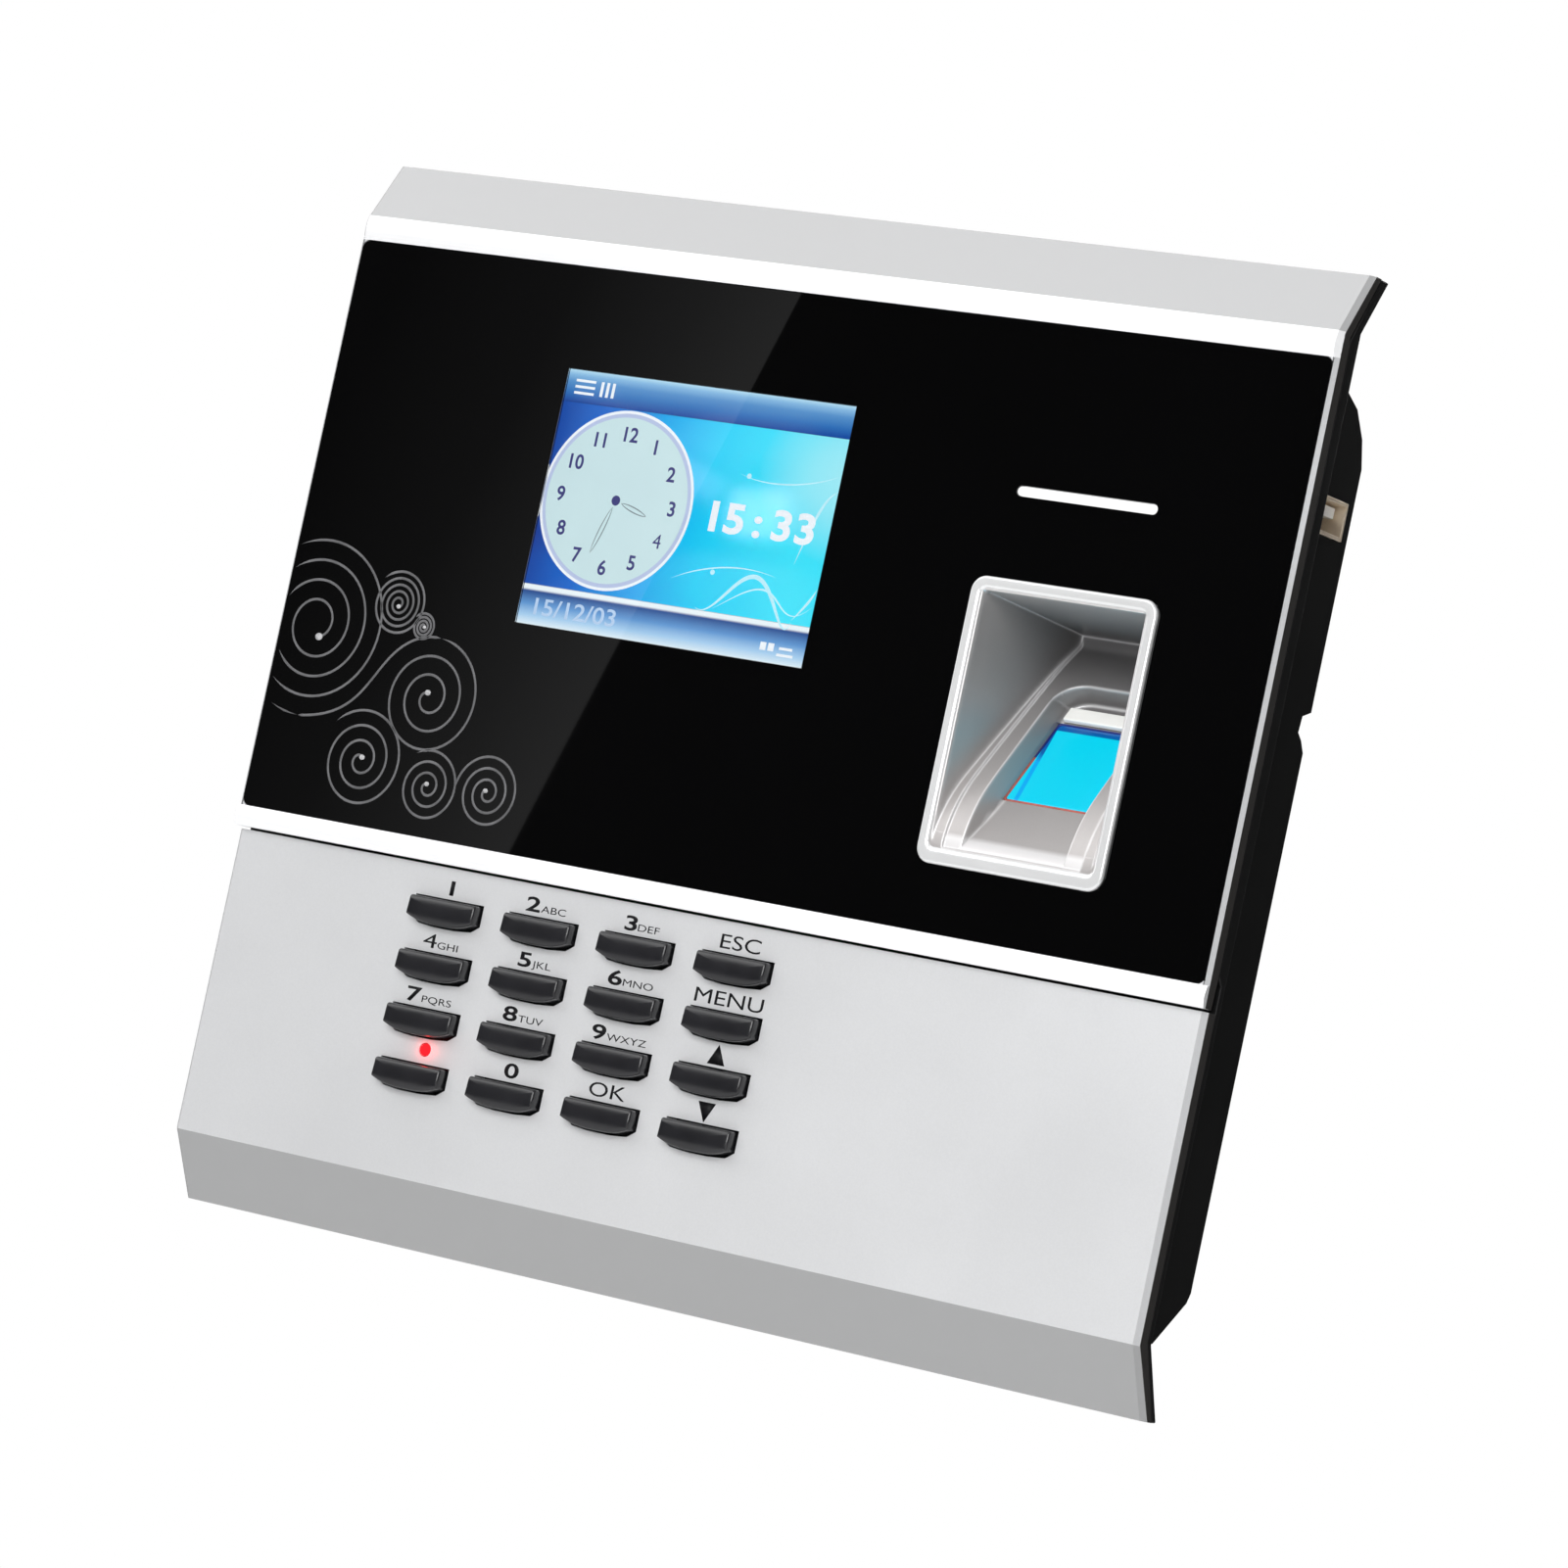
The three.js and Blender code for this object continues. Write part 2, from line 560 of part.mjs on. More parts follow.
// ---- finger cavity ----
// One moulding: a proud rim, a funnel with sloping walls, and a ramp with a shallow round-topped recess.
function fingerprintBezel() {
  const { x0, x1, z0, z1, inset, back } = BEZEL;
  const rimOutline = roundedBox(x0, x1, z0, z1, 2.6);
  const rim = frontOutline(rimOutline, GLASS_FRONT - BEZEL.proud, GLASS_FRONT - 0.02, 0.3);
  const body = block(x0 + inset, x1 - inset, GLASS_FRONT - 0.4, back, z0 + inset, z1 - inset);
  const underRamp = rampBlock(40, -40, 60, RAMP_FLOOR, 60);

  const inX0 = x0 + BEZEL.rim;
  const inX1 = x1 - BEZEL.rim;
  const ceiling = z1 - BEZEL.rim;
  const cavityProfile = [
    [CAVITY.front, ceiling],
    [CAVITY.back, ceiling - 2],
    [CAVITY.back, 29.6],
    [-36.9, -0.5],
    [-37.7, -1.6],
    [-38.2, -3],
    [-38.2, CAVITY.toe],
    [CAVITY.front, CAVITY.toe],
  ];
  const cavity = sideProfile(cavityProfile, inX0, inX1);
  const draft = funnel(inX0, inX1, CAVITY.draft);
  const recess = rampOutline(recessOutline(), -12, RECESS.depth);
  const inFront = block(inX0, inX1, CAVITY.front, BEZEL.back + 1, CAVITY.toe, 40);
  const finger = cavity.intersect(draft).add(recess.intersect(inFront));
  const window = rampBlock(SENSOR.width / 2 + 0.15, SENSOR.low, SENSOR.high, 0, 20);
  return without(rim.add(body), [underRamp, finger, window]);
}

// The funnel's room: full width at the mouth, narrower by "draft" on each side at the back.
function funnel(x0, x1, draft) {
  const back = CAVITY.back + 0.2;
  const plan = [
    [x0, CAVITY.front],
    [x1, CAVITY.front],
    [x1 - 0.1, GLASS_FRONT],
    [x1 - draft, back],
    [x0 + draft, back],
    [x0 + 0.1, GLASS_FRONT],
  ];
  return planProfile(plan, -30, 50);
}

function recessOutline() {
  const half = RECESS.width / 2;
  return roundedBox(BEZEL_X - half, BEZEL_X + half, -14, RECESS.top, RECESS.radius);
}

function sensorWindow() {
  const { width, low, high, thick } = SENSOR;
  const edge = 0.2;
  return rampBlock(width / 2 - 0.05, low + edge, high - edge, RECESS.depth + 0.15, RECESS.depth + thick);
}

function sensorRetainer() {
  const { depth, top } = RECESS;
  return rampBlock(SENSOR.width / 2 - 0.5, SENSOR.high + GAP, top - 2.1, depth - 1, depth - 0.05);
}

// Prism and camera block under the ramp.
function sensorModule() {
  const body = rampBlock(10, 5.5, 30, RAMP_FLOOR + 0.2, 16);
  const under = RECESS.depth + SENSOR.thick + 0.2;
  const prism = rampBlock(7.8, SENSOR.low + 1, SENSOR.high - 1, under, RAMP_FLOOR + 1);
  return body.add(prism);
}

// ---- keypad ----
function forEachKey(visit) {
  KEY_NAMES.forEach((row, j) => {
    row.forEach((name, i) => {
      visit(name, KEY_LEFT + KEY_STEP_X * i + KEY.width / 2, KEY_TOP - KEY_STEP_Z * j);
    });
  });
}

function keyCap(cx, top) {
  const cap = frontOutline(keyOutline(cx, top, 0), KEY.front, -34, KEY.chamfer);
  const middle = top - KEY.height / 2;
  const flange = block(cx - 8.2, cx + 8.2, KEY.back - 0.7, KEY.back, middle - 3, middle + 3);
  return cap.add(flange);
}

const MAT_FRONT = KEY.back + KEY.travel + 0.2;
const MAT_BACK = -31.3;
const keypadMat = () => block(PAD.x0, PAD.x1, MAT_FRONT, MAT_BACK, PAD.z0, PAD.z1);
const keypadBoard = () => block(PAD.x0 - 2, PAD.x1 + 2, MAT_BACK + 0.2, MAT_BACK + 1.8, PAD.z0 - 2, PAD.z1);

function statusLed() {
  const body = bar("y", LED.radius, -37.5, -32.7, LED.x, LED.z, 16);
  const dome = new THREE.SphereGeometry(LED.radius, 16, 8);
  dome.scale(1, 0.5, 1);
  dome.translate(LED.x, -37.5, LED.z);
  return body.add(solidOf(dome));
}

// ---- electronics ----
const mainBoard = () => block(-70.8, 33, BOARD.y0, BOARD.y1, -62, 68);

// Pressed USB socket shell, open at its mouth and flared there.
function usbShell() {
  const { x0, x1, y0, y1, z0, z1, wall } = USB;
  const outer = block(x0, x1 - 0.6, y0, y1, z0, z1);
  const lip = block(x1 - 0.6, x1, y0 - 0.25, y1 + 0.25, z0 - 0.25, z1 + 0.25);
  return outer.add(lip).subtract(block(x0 + 1, x1 + 1, y0 + wall, y1 - wall, z0 + wall, z1 - wall));
}

function usbTongue() {
  return block(USB.x0 + 1, USB.x1 - 1.6, USB.y0 + 1, USB.y1 - 1, USB.z1 - 2.7, USB.z1 - 0.9);
}

const usbBoard = () => block(62, 80.7, USB.y0 - 1.5, USB.y1 + 0.6, USB.z0 - 1.9, USB.z0 - 0.3);

// Network socket facing the wall, with a plug-shaped hollow.
function networkJack() {
  const body = block(PORTS.x0 + 0.4, 1.4, BOARD.y1 + 0.1, -2.4, PORTS.z0 + 0.4, PORTS.z1 - 0.4);
  return body.subtract(block(PORTS.x0 + 2.3, -0.5, -14, 1, PORTS.z0 + 2.7, PORTS.z1 - 3.3));
}

// Screw terminals for the supply, with two wire holes in the face and two screw holes on top.
function powerTerminal() {
  const body = block(2.2, PORTS.x1 - 0.6, BOARD.y1 + 0.1, -2.6, PORTS.z0 + 2, PORTS.z1 - 1.5);
  const holes = [];
  for (const x of [5.6, 12.9]) {
    holes.push(bar("y", 1.4, -12, 0, x, PORTS.z0 + 5.6, 12));
    holes.push(bar("y", 1.6, -5, 0, x, PORTS.z1 - 4.2, 12));
  }
  return without(body, holes);
}

function speaker() {
  const cone = bar("y", SPEAKER.radius, -6.4, -4.4, SPEAKER.x, SPEAKER.z, 28);
  const magnet = bar("y", 7, -9.6, -6.3, SPEAKER.x, SPEAKER.z, 20);
  return cone.add(magnet);
}

const backupBattery = () => frontOutline(roundedBox(-66, -24, 24, 56, 3), -21, -9, 0.8, 3);
const cellHolder = () => block(-52, -28, BOARD.y1 + 0.1, -21.2, -40, -16);
const coinCell = () => bar("y", 10, -21, -17.8, -40, -28, 28);

function tamperSwitch() {
  const { x, z, face } = TAMPER;
  return block(x - 3.5, x + 3.5, BOARD.y1 + 0.1, face, z - 4, z + 4);
}

// Plunger that the wall holds in: it slides by its travel between the switch and the wall.
function tamperPlunger() {
  return bar("y", TAMPER.radius, TAMPER.face + TAMPER.travel + GAP, 0, TAMPER.x, TAMPER.z, 16);
}

// Flat cables between the boards.
const lcdFlex = () => block(-30, -6, -32.2, BOARD.y0 - 0.2, 20, 20.4);
const keypadFlex = () => block(-35, -15, -29.3, BOARD.y0 - 0.2, -50.4, -50);
const sensorCable = () => block(34, 46, -23, -22.4, -9, -5);

// ---- fasteners ----
function caseScrew(x, z) {
  const headBack = -3;
  const head = bar("y", SCREW.head, headBack - SCREW.headHeight, headBack, x, z);
  const shank = bar("y", SCREW.shank, -33, headBack - SCREW.headHeight + 0.2, x, z, 14);
  const { cross, slot, deep } = SCREW;
  const drive = [
    block(x - cross, x + cross, headBack - deep, 0, z - slot, z + slot),
    block(x - slot, x + slot, headBack - deep, 0, z - cross, z + cross),
  ];
  return without(head.add(shank), drive);
}

function lockScrew() {
  const { y, low, tip } = LOCK;
  const { cross, slot, deep } = SCREW;
  const head = bar("z", SCREW.head, low, low + SCREW.headHeight, 0, y);
  const shank = bar("z", SCREW.shank, low + 1, tip, 0, y, 14);
  const drive = [
    block(-cross, cross, y - slot, y + slot, low - 1, low + deep),
    block(-slot, slot, y - cross, y + cross, low - 1, low + deep),
  ];
  return without(head.add(shank), drive);
}

// ---- assembly ----
const terminal = new THREE.Group();
const fixed = [
  ["wall_plate", wallPlate(), STEEL],
  ["rear_housing", rearHousing(), BLACK],
  ["front_chassis", frontChassis(), BLACK],
  ["upper_front_frame", upperFrontFrame(), SILVER],
  ["lower_faceplate", lowerFaceplate(), SILVER],
  ["glass_panel", glassPanel(), GLOSS_BLACK],
  ["display_lens", displayLens(), GLOSS_BLACK],
  ["light_bar", lightBar(), WHITE],
  ["lcd_panel", lcdPanel(), BLUE],
  ["lcd_frame", lcdFrame(), STEEL],
  ["fingerprint_bezel", fingerprintBezel(), BRIGHT_SILVER],
  ["sensor_window", sensorWindow(), CYAN],
  ["sensor_retainer", sensorRetainer(), WHITE],
  ["sensor_module", sensorModule(), BLACK],
  ["status_led", statusLed(), RED],
  ["keypad_mat", keypadMat(), RUBBER],
  ["keypad_board", keypadBoard(), GREEN_BOARD],
  ["main_board", mainBoard(), GREEN_BOARD],
  ["usb_socket", usbShell(), STEEL],
  ["usb_tongue", usbTongue(), WHITE],
  ["usb_board", usbBoard(), GREEN_BOARD],
  ["network_jack", networkJack(), BLACK],
  ["power_terminal", powerTerminal(), finish(0x2f8f4e, 0.5, 0)],
  ["speaker", speaker(), BLACK],
  ["backup_battery", backupBattery(), finish(0x8c9aa6, 0.4, 0)],
  ["cell_holder", cellHolder(), BLACK],
  ["coin_cell", coinCell(), STEEL],
  ["tamper_switch", tamperSwitch(), BLACK],
  ["tamper_plunger", tamperPlunger(), WHITE],
  ["lcd_flex", lcdFlex(), AMBER],
  ["keypad_flex", keypadFlex(), AMBER],
  ["sensor_cable", sensorCable(), AMBER],
  ["lock_screw", lockScrew(), STEEL],
];
for (const [name, solid, material] of fixed) {
  terminal.add(meshOf(name, solid, material));
}
for (const [name, x, z] of CASE_SCREWS) {
  terminal.add(meshOf(name, caseScrew(x, z), STEEL));
}
forEachKey((name, cx, top) => {
  terminal.add(meshOf(name, keyCap(cx, top), KEY_GREY));
});

export default terminal;
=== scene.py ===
"""Wall-mounted fingerprint terminal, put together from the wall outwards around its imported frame.

Everything is in metres in the frame's own axes: X to the right of someone facing the terminal, Y back into
the wall, Z up. MM turns the makers' millimetres into metres.
"""
import math

import bmesh
import bpy
import numpy as np
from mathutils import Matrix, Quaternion, Vector


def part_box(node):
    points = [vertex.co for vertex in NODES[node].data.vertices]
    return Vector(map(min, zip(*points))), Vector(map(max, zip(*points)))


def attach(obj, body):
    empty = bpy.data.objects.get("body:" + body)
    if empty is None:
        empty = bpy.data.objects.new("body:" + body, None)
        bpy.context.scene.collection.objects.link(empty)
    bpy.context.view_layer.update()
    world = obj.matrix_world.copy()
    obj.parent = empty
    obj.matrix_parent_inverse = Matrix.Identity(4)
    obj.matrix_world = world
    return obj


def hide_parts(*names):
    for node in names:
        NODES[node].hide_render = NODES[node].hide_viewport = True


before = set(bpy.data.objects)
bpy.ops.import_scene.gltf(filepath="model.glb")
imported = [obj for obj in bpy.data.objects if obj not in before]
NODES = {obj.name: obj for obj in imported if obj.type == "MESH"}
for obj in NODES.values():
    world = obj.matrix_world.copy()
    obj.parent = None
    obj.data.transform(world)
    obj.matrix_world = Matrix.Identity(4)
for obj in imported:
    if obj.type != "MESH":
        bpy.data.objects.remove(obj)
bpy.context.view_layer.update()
MM = 0.001


# ---- wall plate ----
# Pressed zinc-plated steel sheet, 1.5 mm thick, screwed to the wall through four keyholes. Its four folded
# hooks carry the terminal, and its edges are deburred by the press.

def feed(tree, socket, value):
    """Gives a node's input its value: a link if the value is another node's output, else the value itself."""
    if isinstance(value, bpy.types.NodeSocket):
        tree.links.new(value, socket)
    else:
        socket.default_value = value


def worked_out(tree, operation, *terms):
    """Result of one Math node on numbers or other nodes' outputs."""
    made = tree.nodes.new("ShaderNodeMath")
    made.operation = operation
    for socket, term in zip(made.inputs, terms):
        feed(tree, socket, term)
    return made.outputs["Value"]


def noise_on(tree, vector, scale, detail, distortion=0.0):
    """Noise read at a vector, as a number from 0 to 1."""
    made = tree.nodes.new("ShaderNodeTexNoise")
    for name, value in (("Scale", scale), ("Detail", detail), ("Distortion", distortion)):
        made.inputs[name].default_value = value
    tree.links.new(vector, made.inputs["Vector"])
    return made.outputs["Fac"]


def finish(name, colour, rough, metal=0.0, tint=0.05, cloud=60, grain=2500, raised=0.006, speck=0.0,
           swing=0.04, stretch=(1, 1, 1), shine=0.5):
    """Surface finish. A slow noise cloud carries the colour between a darker and a lighter shade and swings
    the roughness with it; a fine noise is raised as bump (raised, in mm) and can speckle the colour."""
    made = bpy.data.materials.new(name)
    made.use_nodes = True
    tree = made.node_tree
    nodes, links = tree.nodes, tree.links
    shader = nodes["Principled BSDF"]
    shader.inputs["Metallic"].default_value = metal
    shader.inputs["Specular IOR Level"].default_value = shine
    place = nodes.new("ShaderNodeTexCoord")
    turn = nodes.new("ShaderNodeMapping")
    turn.inputs["Scale"].default_value = stretch
    links.new(place.outputs["Object"], turn.inputs["Vector"])
    clouds = noise_on(tree, turn.outputs["Vector"], cloud, 4)
    grains = noise_on(tree, turn.outputs["Vector"], grain, 2)
    shades = nodes.new("ShaderNodeValToRGB")
    dark, light = shades.color_ramp.elements
    dark.position, light.position = 0.3 + 0.5 * speck, 0.7 + 0.5 * speck
    dark.color = (*[c * (1 - tint) for c in colour], 1)
    light.color = (*[min(c * (1 + tint), 1) for c in colour], 1)
    links.new(worked_out(tree, "MULTIPLY_ADD", grains, speck, clouds), shades.inputs["Fac"])
    links.new(shades.outputs["Color"], shader.inputs["Base Color"])
    gloss = nodes.new("ShaderNodeMapRange")
    gloss.inputs["To Min"].default_value = max(rough - swing, 0.0)
    gloss.inputs["To Max"].default_value = rough + swing
    links.new(clouds, gloss.inputs["Value"])
    links.new(gloss.outputs["Result"], shader.inputs["Roughness"])
    if raised:
        bump = nodes.new("ShaderNodeBump")
        bump.inputs["Strength"].default_value = 0.5
        bump.inputs["Distance"].default_value = raised * MM
        links.new(grains, bump.inputs["Height"])
        links.new(bump.outputs["Normal"], shader.inputs["Normal"])
    return made


def dress(node, material, radius=0.25, segments=2, sheet=False):
    """Gives a frame node its finish, and rounds its edges by a small radius in mm: the loose triangles are
    welded, flat faces joined, and every edge sharper than 28 degrees is rounded. The large faces keep flat
    shading, wholly so for sheets."""
    piece = NODES[node]
    piece.data.materials.clear()
    piece.data.materials.append(material)
    if radius:
        piece.modifiers.new("weld", "WELD").merge_threshold = 1e-6
        flat = piece.modifiers.new("flat", "DECIMATE")
        flat.decimate_type = "DISSOLVE"
        flat.angle_limit = math.radians(1)
        edge = piece.modifiers.new("edge", "BEVEL")
        edge.width = radius * MM
        edge.segments = segments
        edge.limit_method = "ANGLE"
        edge.angle_limit = math.radians(28)
        piece.data.polygons.foreach_set("use_smooth", np.full(len(piece.data.polygons), not sheet))
        if not sheet:
            piece.modifiers.new("flats", "WEIGHTED_NORMAL").weight = 90
    return piece


zinc_steel = finish("zinc_steel", (0.60, 0.61, 0.62), 0.36, metal=1.0, tint=0.12, cloud=260, grain=1400)
dress("wall_plate", zinc_steel, 0.2, sheet=True)


# ---- rear case and its screws ----
# Black moulded case with a spark-textured face, hooked on the wall plate, closed by four cross-head screws
# and kept from lifting off by a fifth one in its underside.

black_case = finish("black_case", (0.004, 0.004, 0.0042), 0.55, tint=0.25, cloud=90, grain=1800, raised=0.02,
                    shine=0.25)
dress("rear_housing", black_case, 0.4, 3)

nickel_screw = finish("nickel_screw", (0.62, 0.60, 0.57), 0.28, metal=1.0, tint=0.08, cloud=900, grain=4000)
for node in ("case_screw_1", "case_screw_2", "case_screw_3", "case_screw_4", "lock_screw"):
    dress(node, nickel_screw, 0.12)


# ---- boards and cables ----
# Glass-fibre boards with green solder mask, joined by flat amber film cables with printed tracks.

solder_mask = finish("solder_mask", (0.02, 0.15, 0.06), 0.42, tint=0.3, cloud=420, grain=1500, raised=0.03)
for node in ("main_board", "keypad_board", "usb_board"):
    dress(node, solder_mask, 0.1)

amber_film = finish("amber_film", (0.42, 0.17, 0.04), 0.35, tint=0.3, cloud=300, grain=900,
                    stretch=(6, 1, 1))
for node in ("lcd_flex", "keypad_flex", "sensor_cable"):
    dress(node, amber_film, 0.05)


# ---- speaker, cells and tamper switch ----
# Moulded black speaker, holder and switch bodies, a wrapped backup cell, a steel coin cell and the white
# plunger that the wall holds in.

black_nylon = finish("black_nylon", (0.018, 0.018, 0.019), 0.42, tint=0.2, cloud=220, grain=1600,
                     raised=0.012)
for node in ("speaker", "cell_holder", "tamper_switch", "sensor_module"):
    dress(node, black_nylon, 0.3)
cell_wrap = finish("cell_wrap", (0.30, 0.36, 0.42), 0.38, tint=0.15, cloud=150, grain=700, raised=0.04)
dress("backup_battery", cell_wrap, 0.4)
dress("coin_cell", zinc_steel, 0.2)
white_nylon = finish("white_nylon", (0.82, 0.82, 0.80), 0.35, tint=0.03, cloud=200, grain=1500)
dress("tamper_plunger", white_nylon, 0.2)


# ---- sockets ----
# Black network jack and green screw terminal at the back; in the right side a pressed nickel shell with
# flared lips round a white tongue.

dress("network_jack", black_nylon, 0.25)
green_nylon = finish("green_nylon", (0.03, 0.25, 0.08), 0.35, tint=0.1, cloud=250, grain=1500)
dress("power_terminal", green_nylon, 0.25)
socket_shell = finish("socket_shell", (0.95, 0.80, 0.63), 0.4, metal=0.6, tint=0.1, cloud=500, grain=3000)
dress("usb_socket", socket_shell, 0.12)
dress("usb_tongue", white_nylon, 0.15)


# ---- front chassis ----
# Black moulded layer that follows the folds of the silver pieces and joins them to the case.

black_chassis = finish("black_chassis", (0.004, 0.004, 0.0042), 0.5, tint=0.2, cloud=120, grain=2200,
                       raised=0.01, shine=0.3)
dress("front_chassis", black_chassis, 0.3)


# ---- seam gasket ----
# Black rubber cord pressed into the joint between the front chassis and the case, closing it against light
# and dust.

case_low, case_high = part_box("rear_housing")


def put(name, points, faces, material, body="terminal", painted_highlight=None, smooth=True):
    """Makes one piece from points (n, 3) and its faces, merges doubles, and turns its faces outwards. A
    painted-highlight amount per point is kept as an attribute if given."""
    mesh = bpy.data.meshes.new(name)
    mesh.from_pydata(points.tolist(), [], faces if isinstance(faces, list) else faces.tolist())
    if painted_highlight is not None:
        mesh.attributes.new("painted_highlight", "FLOAT", "POINT").data.foreach_set("value", painted_highlight)
    work = bmesh.new()
    work.from_mesh(mesh)
    bmesh.ops.remove_doubles(work, verts=work.verts, dist=1e-7)
    bmesh.ops.dissolve_degenerate(work, edges=work.edges, dist=1e-8)
    bmesh.ops.recalc_face_normals(work, faces=work.faces)
    work.to_mesh(mesh)
    work.free()
    mesh.materials.append(material)
    mesh.polygons.foreach_set("use_smooth", np.full(len(mesh.polygons), smooth))
    piece = bpy.data.objects.new(name, mesh)
    bpy.context.scene.collection.objects.link(piece)
    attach(piece, body)
    return piece


def grid_faces(rows, columns, close_rows=False, close_columns=False):
    """Quads between the points of a grid, row by row, closed round in either direction if asked."""
    i = np.arange(rows if close_rows else rows - 1)[:, None]
    j = np.arange(columns if close_columns else columns - 1)[None, :]
    a = i * columns + j
    b = i * columns + (j + 1) % columns
    c = ((i + 1) % rows) * columns + (j + 1) % columns
    d = ((i + 1) % rows) * columns + j
    return np.stack([a, b, c, d], -1).reshape(-1, 4)


def cord_ring(x0, x1, z0, z1, y0, y1, wide):
    """Square-section cord carried round a rectangle: the section's four corners at each of the rectangle's
    corners, mitred."""
    loops = []
    for inset, y in ((0, y0), (0, y1), (wide, y1), (wide, y0)):
        corners = np.array([[x0 + inset, z0 + inset], [x1 - inset, z0 + inset], [x1 - inset, z1 - inset],
                            [x0 + inset, z1 - inset]])
        loops.append(np.stack([corners[:, 0], np.full(4, y), corners[:, 1]], -1))
    return np.vstack(loops), grid_faces(4, 4, close_rows=True, close_columns=True)


CORD_WIDE = 1.2 * MM
cord = cord_ring(case_low.x + 0.5 * MM, case_high.x - 0.5 * MM, case_low.z + 0.6 * MM, case_high.z - 0.6 * MM,
                 case_low.y - 0.45 * MM, case_low.y + 0.15 * MM, CORD_WIDE)
black_rubber = finish("black_rubber", (0.006, 0.006, 0.006), 0.7, tint=0.2, cloud=300, grain=900)
put("seam_gasket", *cord, black_rubber, smooth=False)


# ---- silver front ----
# Two ABS mouldings in satin silver paint with a fine metallic grain: the upper frame with its raked wing
# and beads, and the keypad plate with its fold.

def axes_of(tree, vector=None):
    """The X, Y and Z parts of a vector, or of the piece's own place in metres."""
    if vector is None:
        vector = tree.nodes.new("ShaderNodeTexCoord").outputs["Object"]
    axes = tree.nodes.new("ShaderNodeSeparateXYZ")
    tree.links.new(vector, axes.inputs["Vector"])
    return axes.outputs


def where_between(tree, value, low, high):
    """1 where a value in metres lies between low and high, given in mm, else 0."""
    return worked_out(tree, "COMPARE", value, (low + high) / 2 * MM, (high - low) / 2 * MM)


def painted(tree, where, below, above):
    """Colour below, with the colour above laid over it where a mask is 1."""
    mix = tree.nodes.new("ShaderNodeMix")
    mix.data_type = "RGBA"
    for name, value in (("Factor", where), ("A", below), ("B", above)):
        feed(tree, mix.inputs[name], value)
    return mix.outputs["Result"]


def repaint(tree, where, colour):
    """Lays another colour over the finish's own colour where a mask is 1."""
    base = tree.nodes["Principled BSDF"].inputs["Base Color"]
    tree.links.new(painted(tree, where, base.links[0].from_socket, (*colour, 1)), base)


TOP_WING, TOP_BEAD, LOW_BEAD, FOLD_WING = (79.95, 95), (75.7, 79.95), (-26.35, -22.8), (-95, -78.6)
LIP_BACK = -38.35
GLASS_END, MOULDING_END = (94.72, 96), (94.93, 96)


def silver_finish():
    """Satin silver paint with painted light: the top wing is painted a little darker and the down-facing fold
    wing much darker, as painted shade; the two beads are painted nearly white, as painted highlight; and the
    ends of the mouldings, past the chamfer and beside the glass, are painted dark, as painted shade on faces
    turned from the light."""
    made = finish("silver_paint", (0.585, 0.59, 0.60), 0.48, metal=0.3, tint=0.035, cloud=25, grain=3200,
                  raised=0.012, speck=0.5, swing=0.03)
    tree = made.node_tree
    side, depth, height = axes_of(tree)
    # Painted tones by height: the wings darker as painted shade, the beads near white as painted highlight.
    for band, shade in ((TOP_WING, 0.49), (TOP_BEAD, 0.88), (LOW_BEAD, 0.88), (FOLD_WING, 0.35)):
        repaint(tree, where_between(tree, height, *band), (shade, shade * 1.005, shade * 1.015))
    # Painted shade on the ends of the mouldings, beside the glass and past the chamfer.
    behind_lip = where_between(tree, depth, LIP_BACK, 0)
    beside_glass = where_between(tree, height, LOW_BEAD[1], TOP_BEAD[0])
    glass_end_shade = worked_out(tree, "MULTIPLY", where_between(tree, side, *GLASS_END), beside_glass)
    repaint(tree, worked_out(tree, "MULTIPLY", glass_end_shade, behind_lip), (0.02, 0.018, 0.017))
    end = worked_out(tree, "MULTIPLY", where_between(tree, side, *MOULDING_END), behind_lip)
    repaint(tree, end, (0.045, 0.042, 0.04))
    return made


silver_paint = silver_finish()
dress("upper_front_frame", silver_paint, 0.3, 4, sheet=True)
dress("lower_faceplate", silver_paint, 0.25, 4, sheet=True)


# ---- display ----
# Lit colour display in its pressed can, behind a clear lens set in the glass. The picture is a clock page:
# a header bar, a round dial, the time in figures, light waves and a foot bar with small marks.

dress("lcd_panel", black_nylon, 0.2)
dress("lcd_frame", zinc_steel, 0.2)
lens_low, lens_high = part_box("display_lens")
PICTURE_BACK = lens_low.y + 0.45 * MM
SCREEN_WIDE = lens_high.x - lens_low.x
SCREEN_TALL = lens_high.z - lens_low.z


def on_screen(u, v, layer):
    """Points of the picture: u runs right and v down, both from 0 to 1; layers stack towards the viewer."""
    u, v = np.asarray(u, float), np.asarray(v, float)
    x = lens_low.x + u * SCREEN_WIDE
    z = lens_high.z - v * SCREEN_TALL
    y = np.full(x.shape, PICTURE_BACK - layer * 0.02 * MM)
    return np.stack([x, y, z], -1)


def slab(outline, depth):
    """Thin closed plate: the outline's points, and the same points set back by depth, closed by two caps."""
    count = len(outline)
    back = outline + np.array([0, depth, 0])
    sides = grid_faces(2, count, close_columns=True).tolist()
    caps = [list(range(count)), list(range(2 * count - 1, count - 1, -1))]
    return np.vstack([outline, back]), sides + caps


def several(parts):
    """Joins several (points, faces) into one."""
    points, faces, start = [], [], 0
    for some, their_faces in parts:
        points.append(some)
        faces += [[start + k for k in face] for face in their_faces]
        start += len(some)
    return np.vstack(points), faces


def ramp(tree, source, stops):
    """Colour ramp fed by a socket, with stops of (place, colour); a single number is a grey."""
    made = tree.nodes.new("ShaderNodeValToRGB")
    marks = made.color_ramp.elements
    while len(marks) < len(stops):
        marks.new(0.5)
    for mark, (place, colour) in zip(marks, stops):
        mark.position = place
        mark.color = (*(colour if isinstance(colour, tuple) else (colour,) * 3), 1)
    tree.links.new(source, made.inputs["Fac"])
    return made.outputs["Color"]


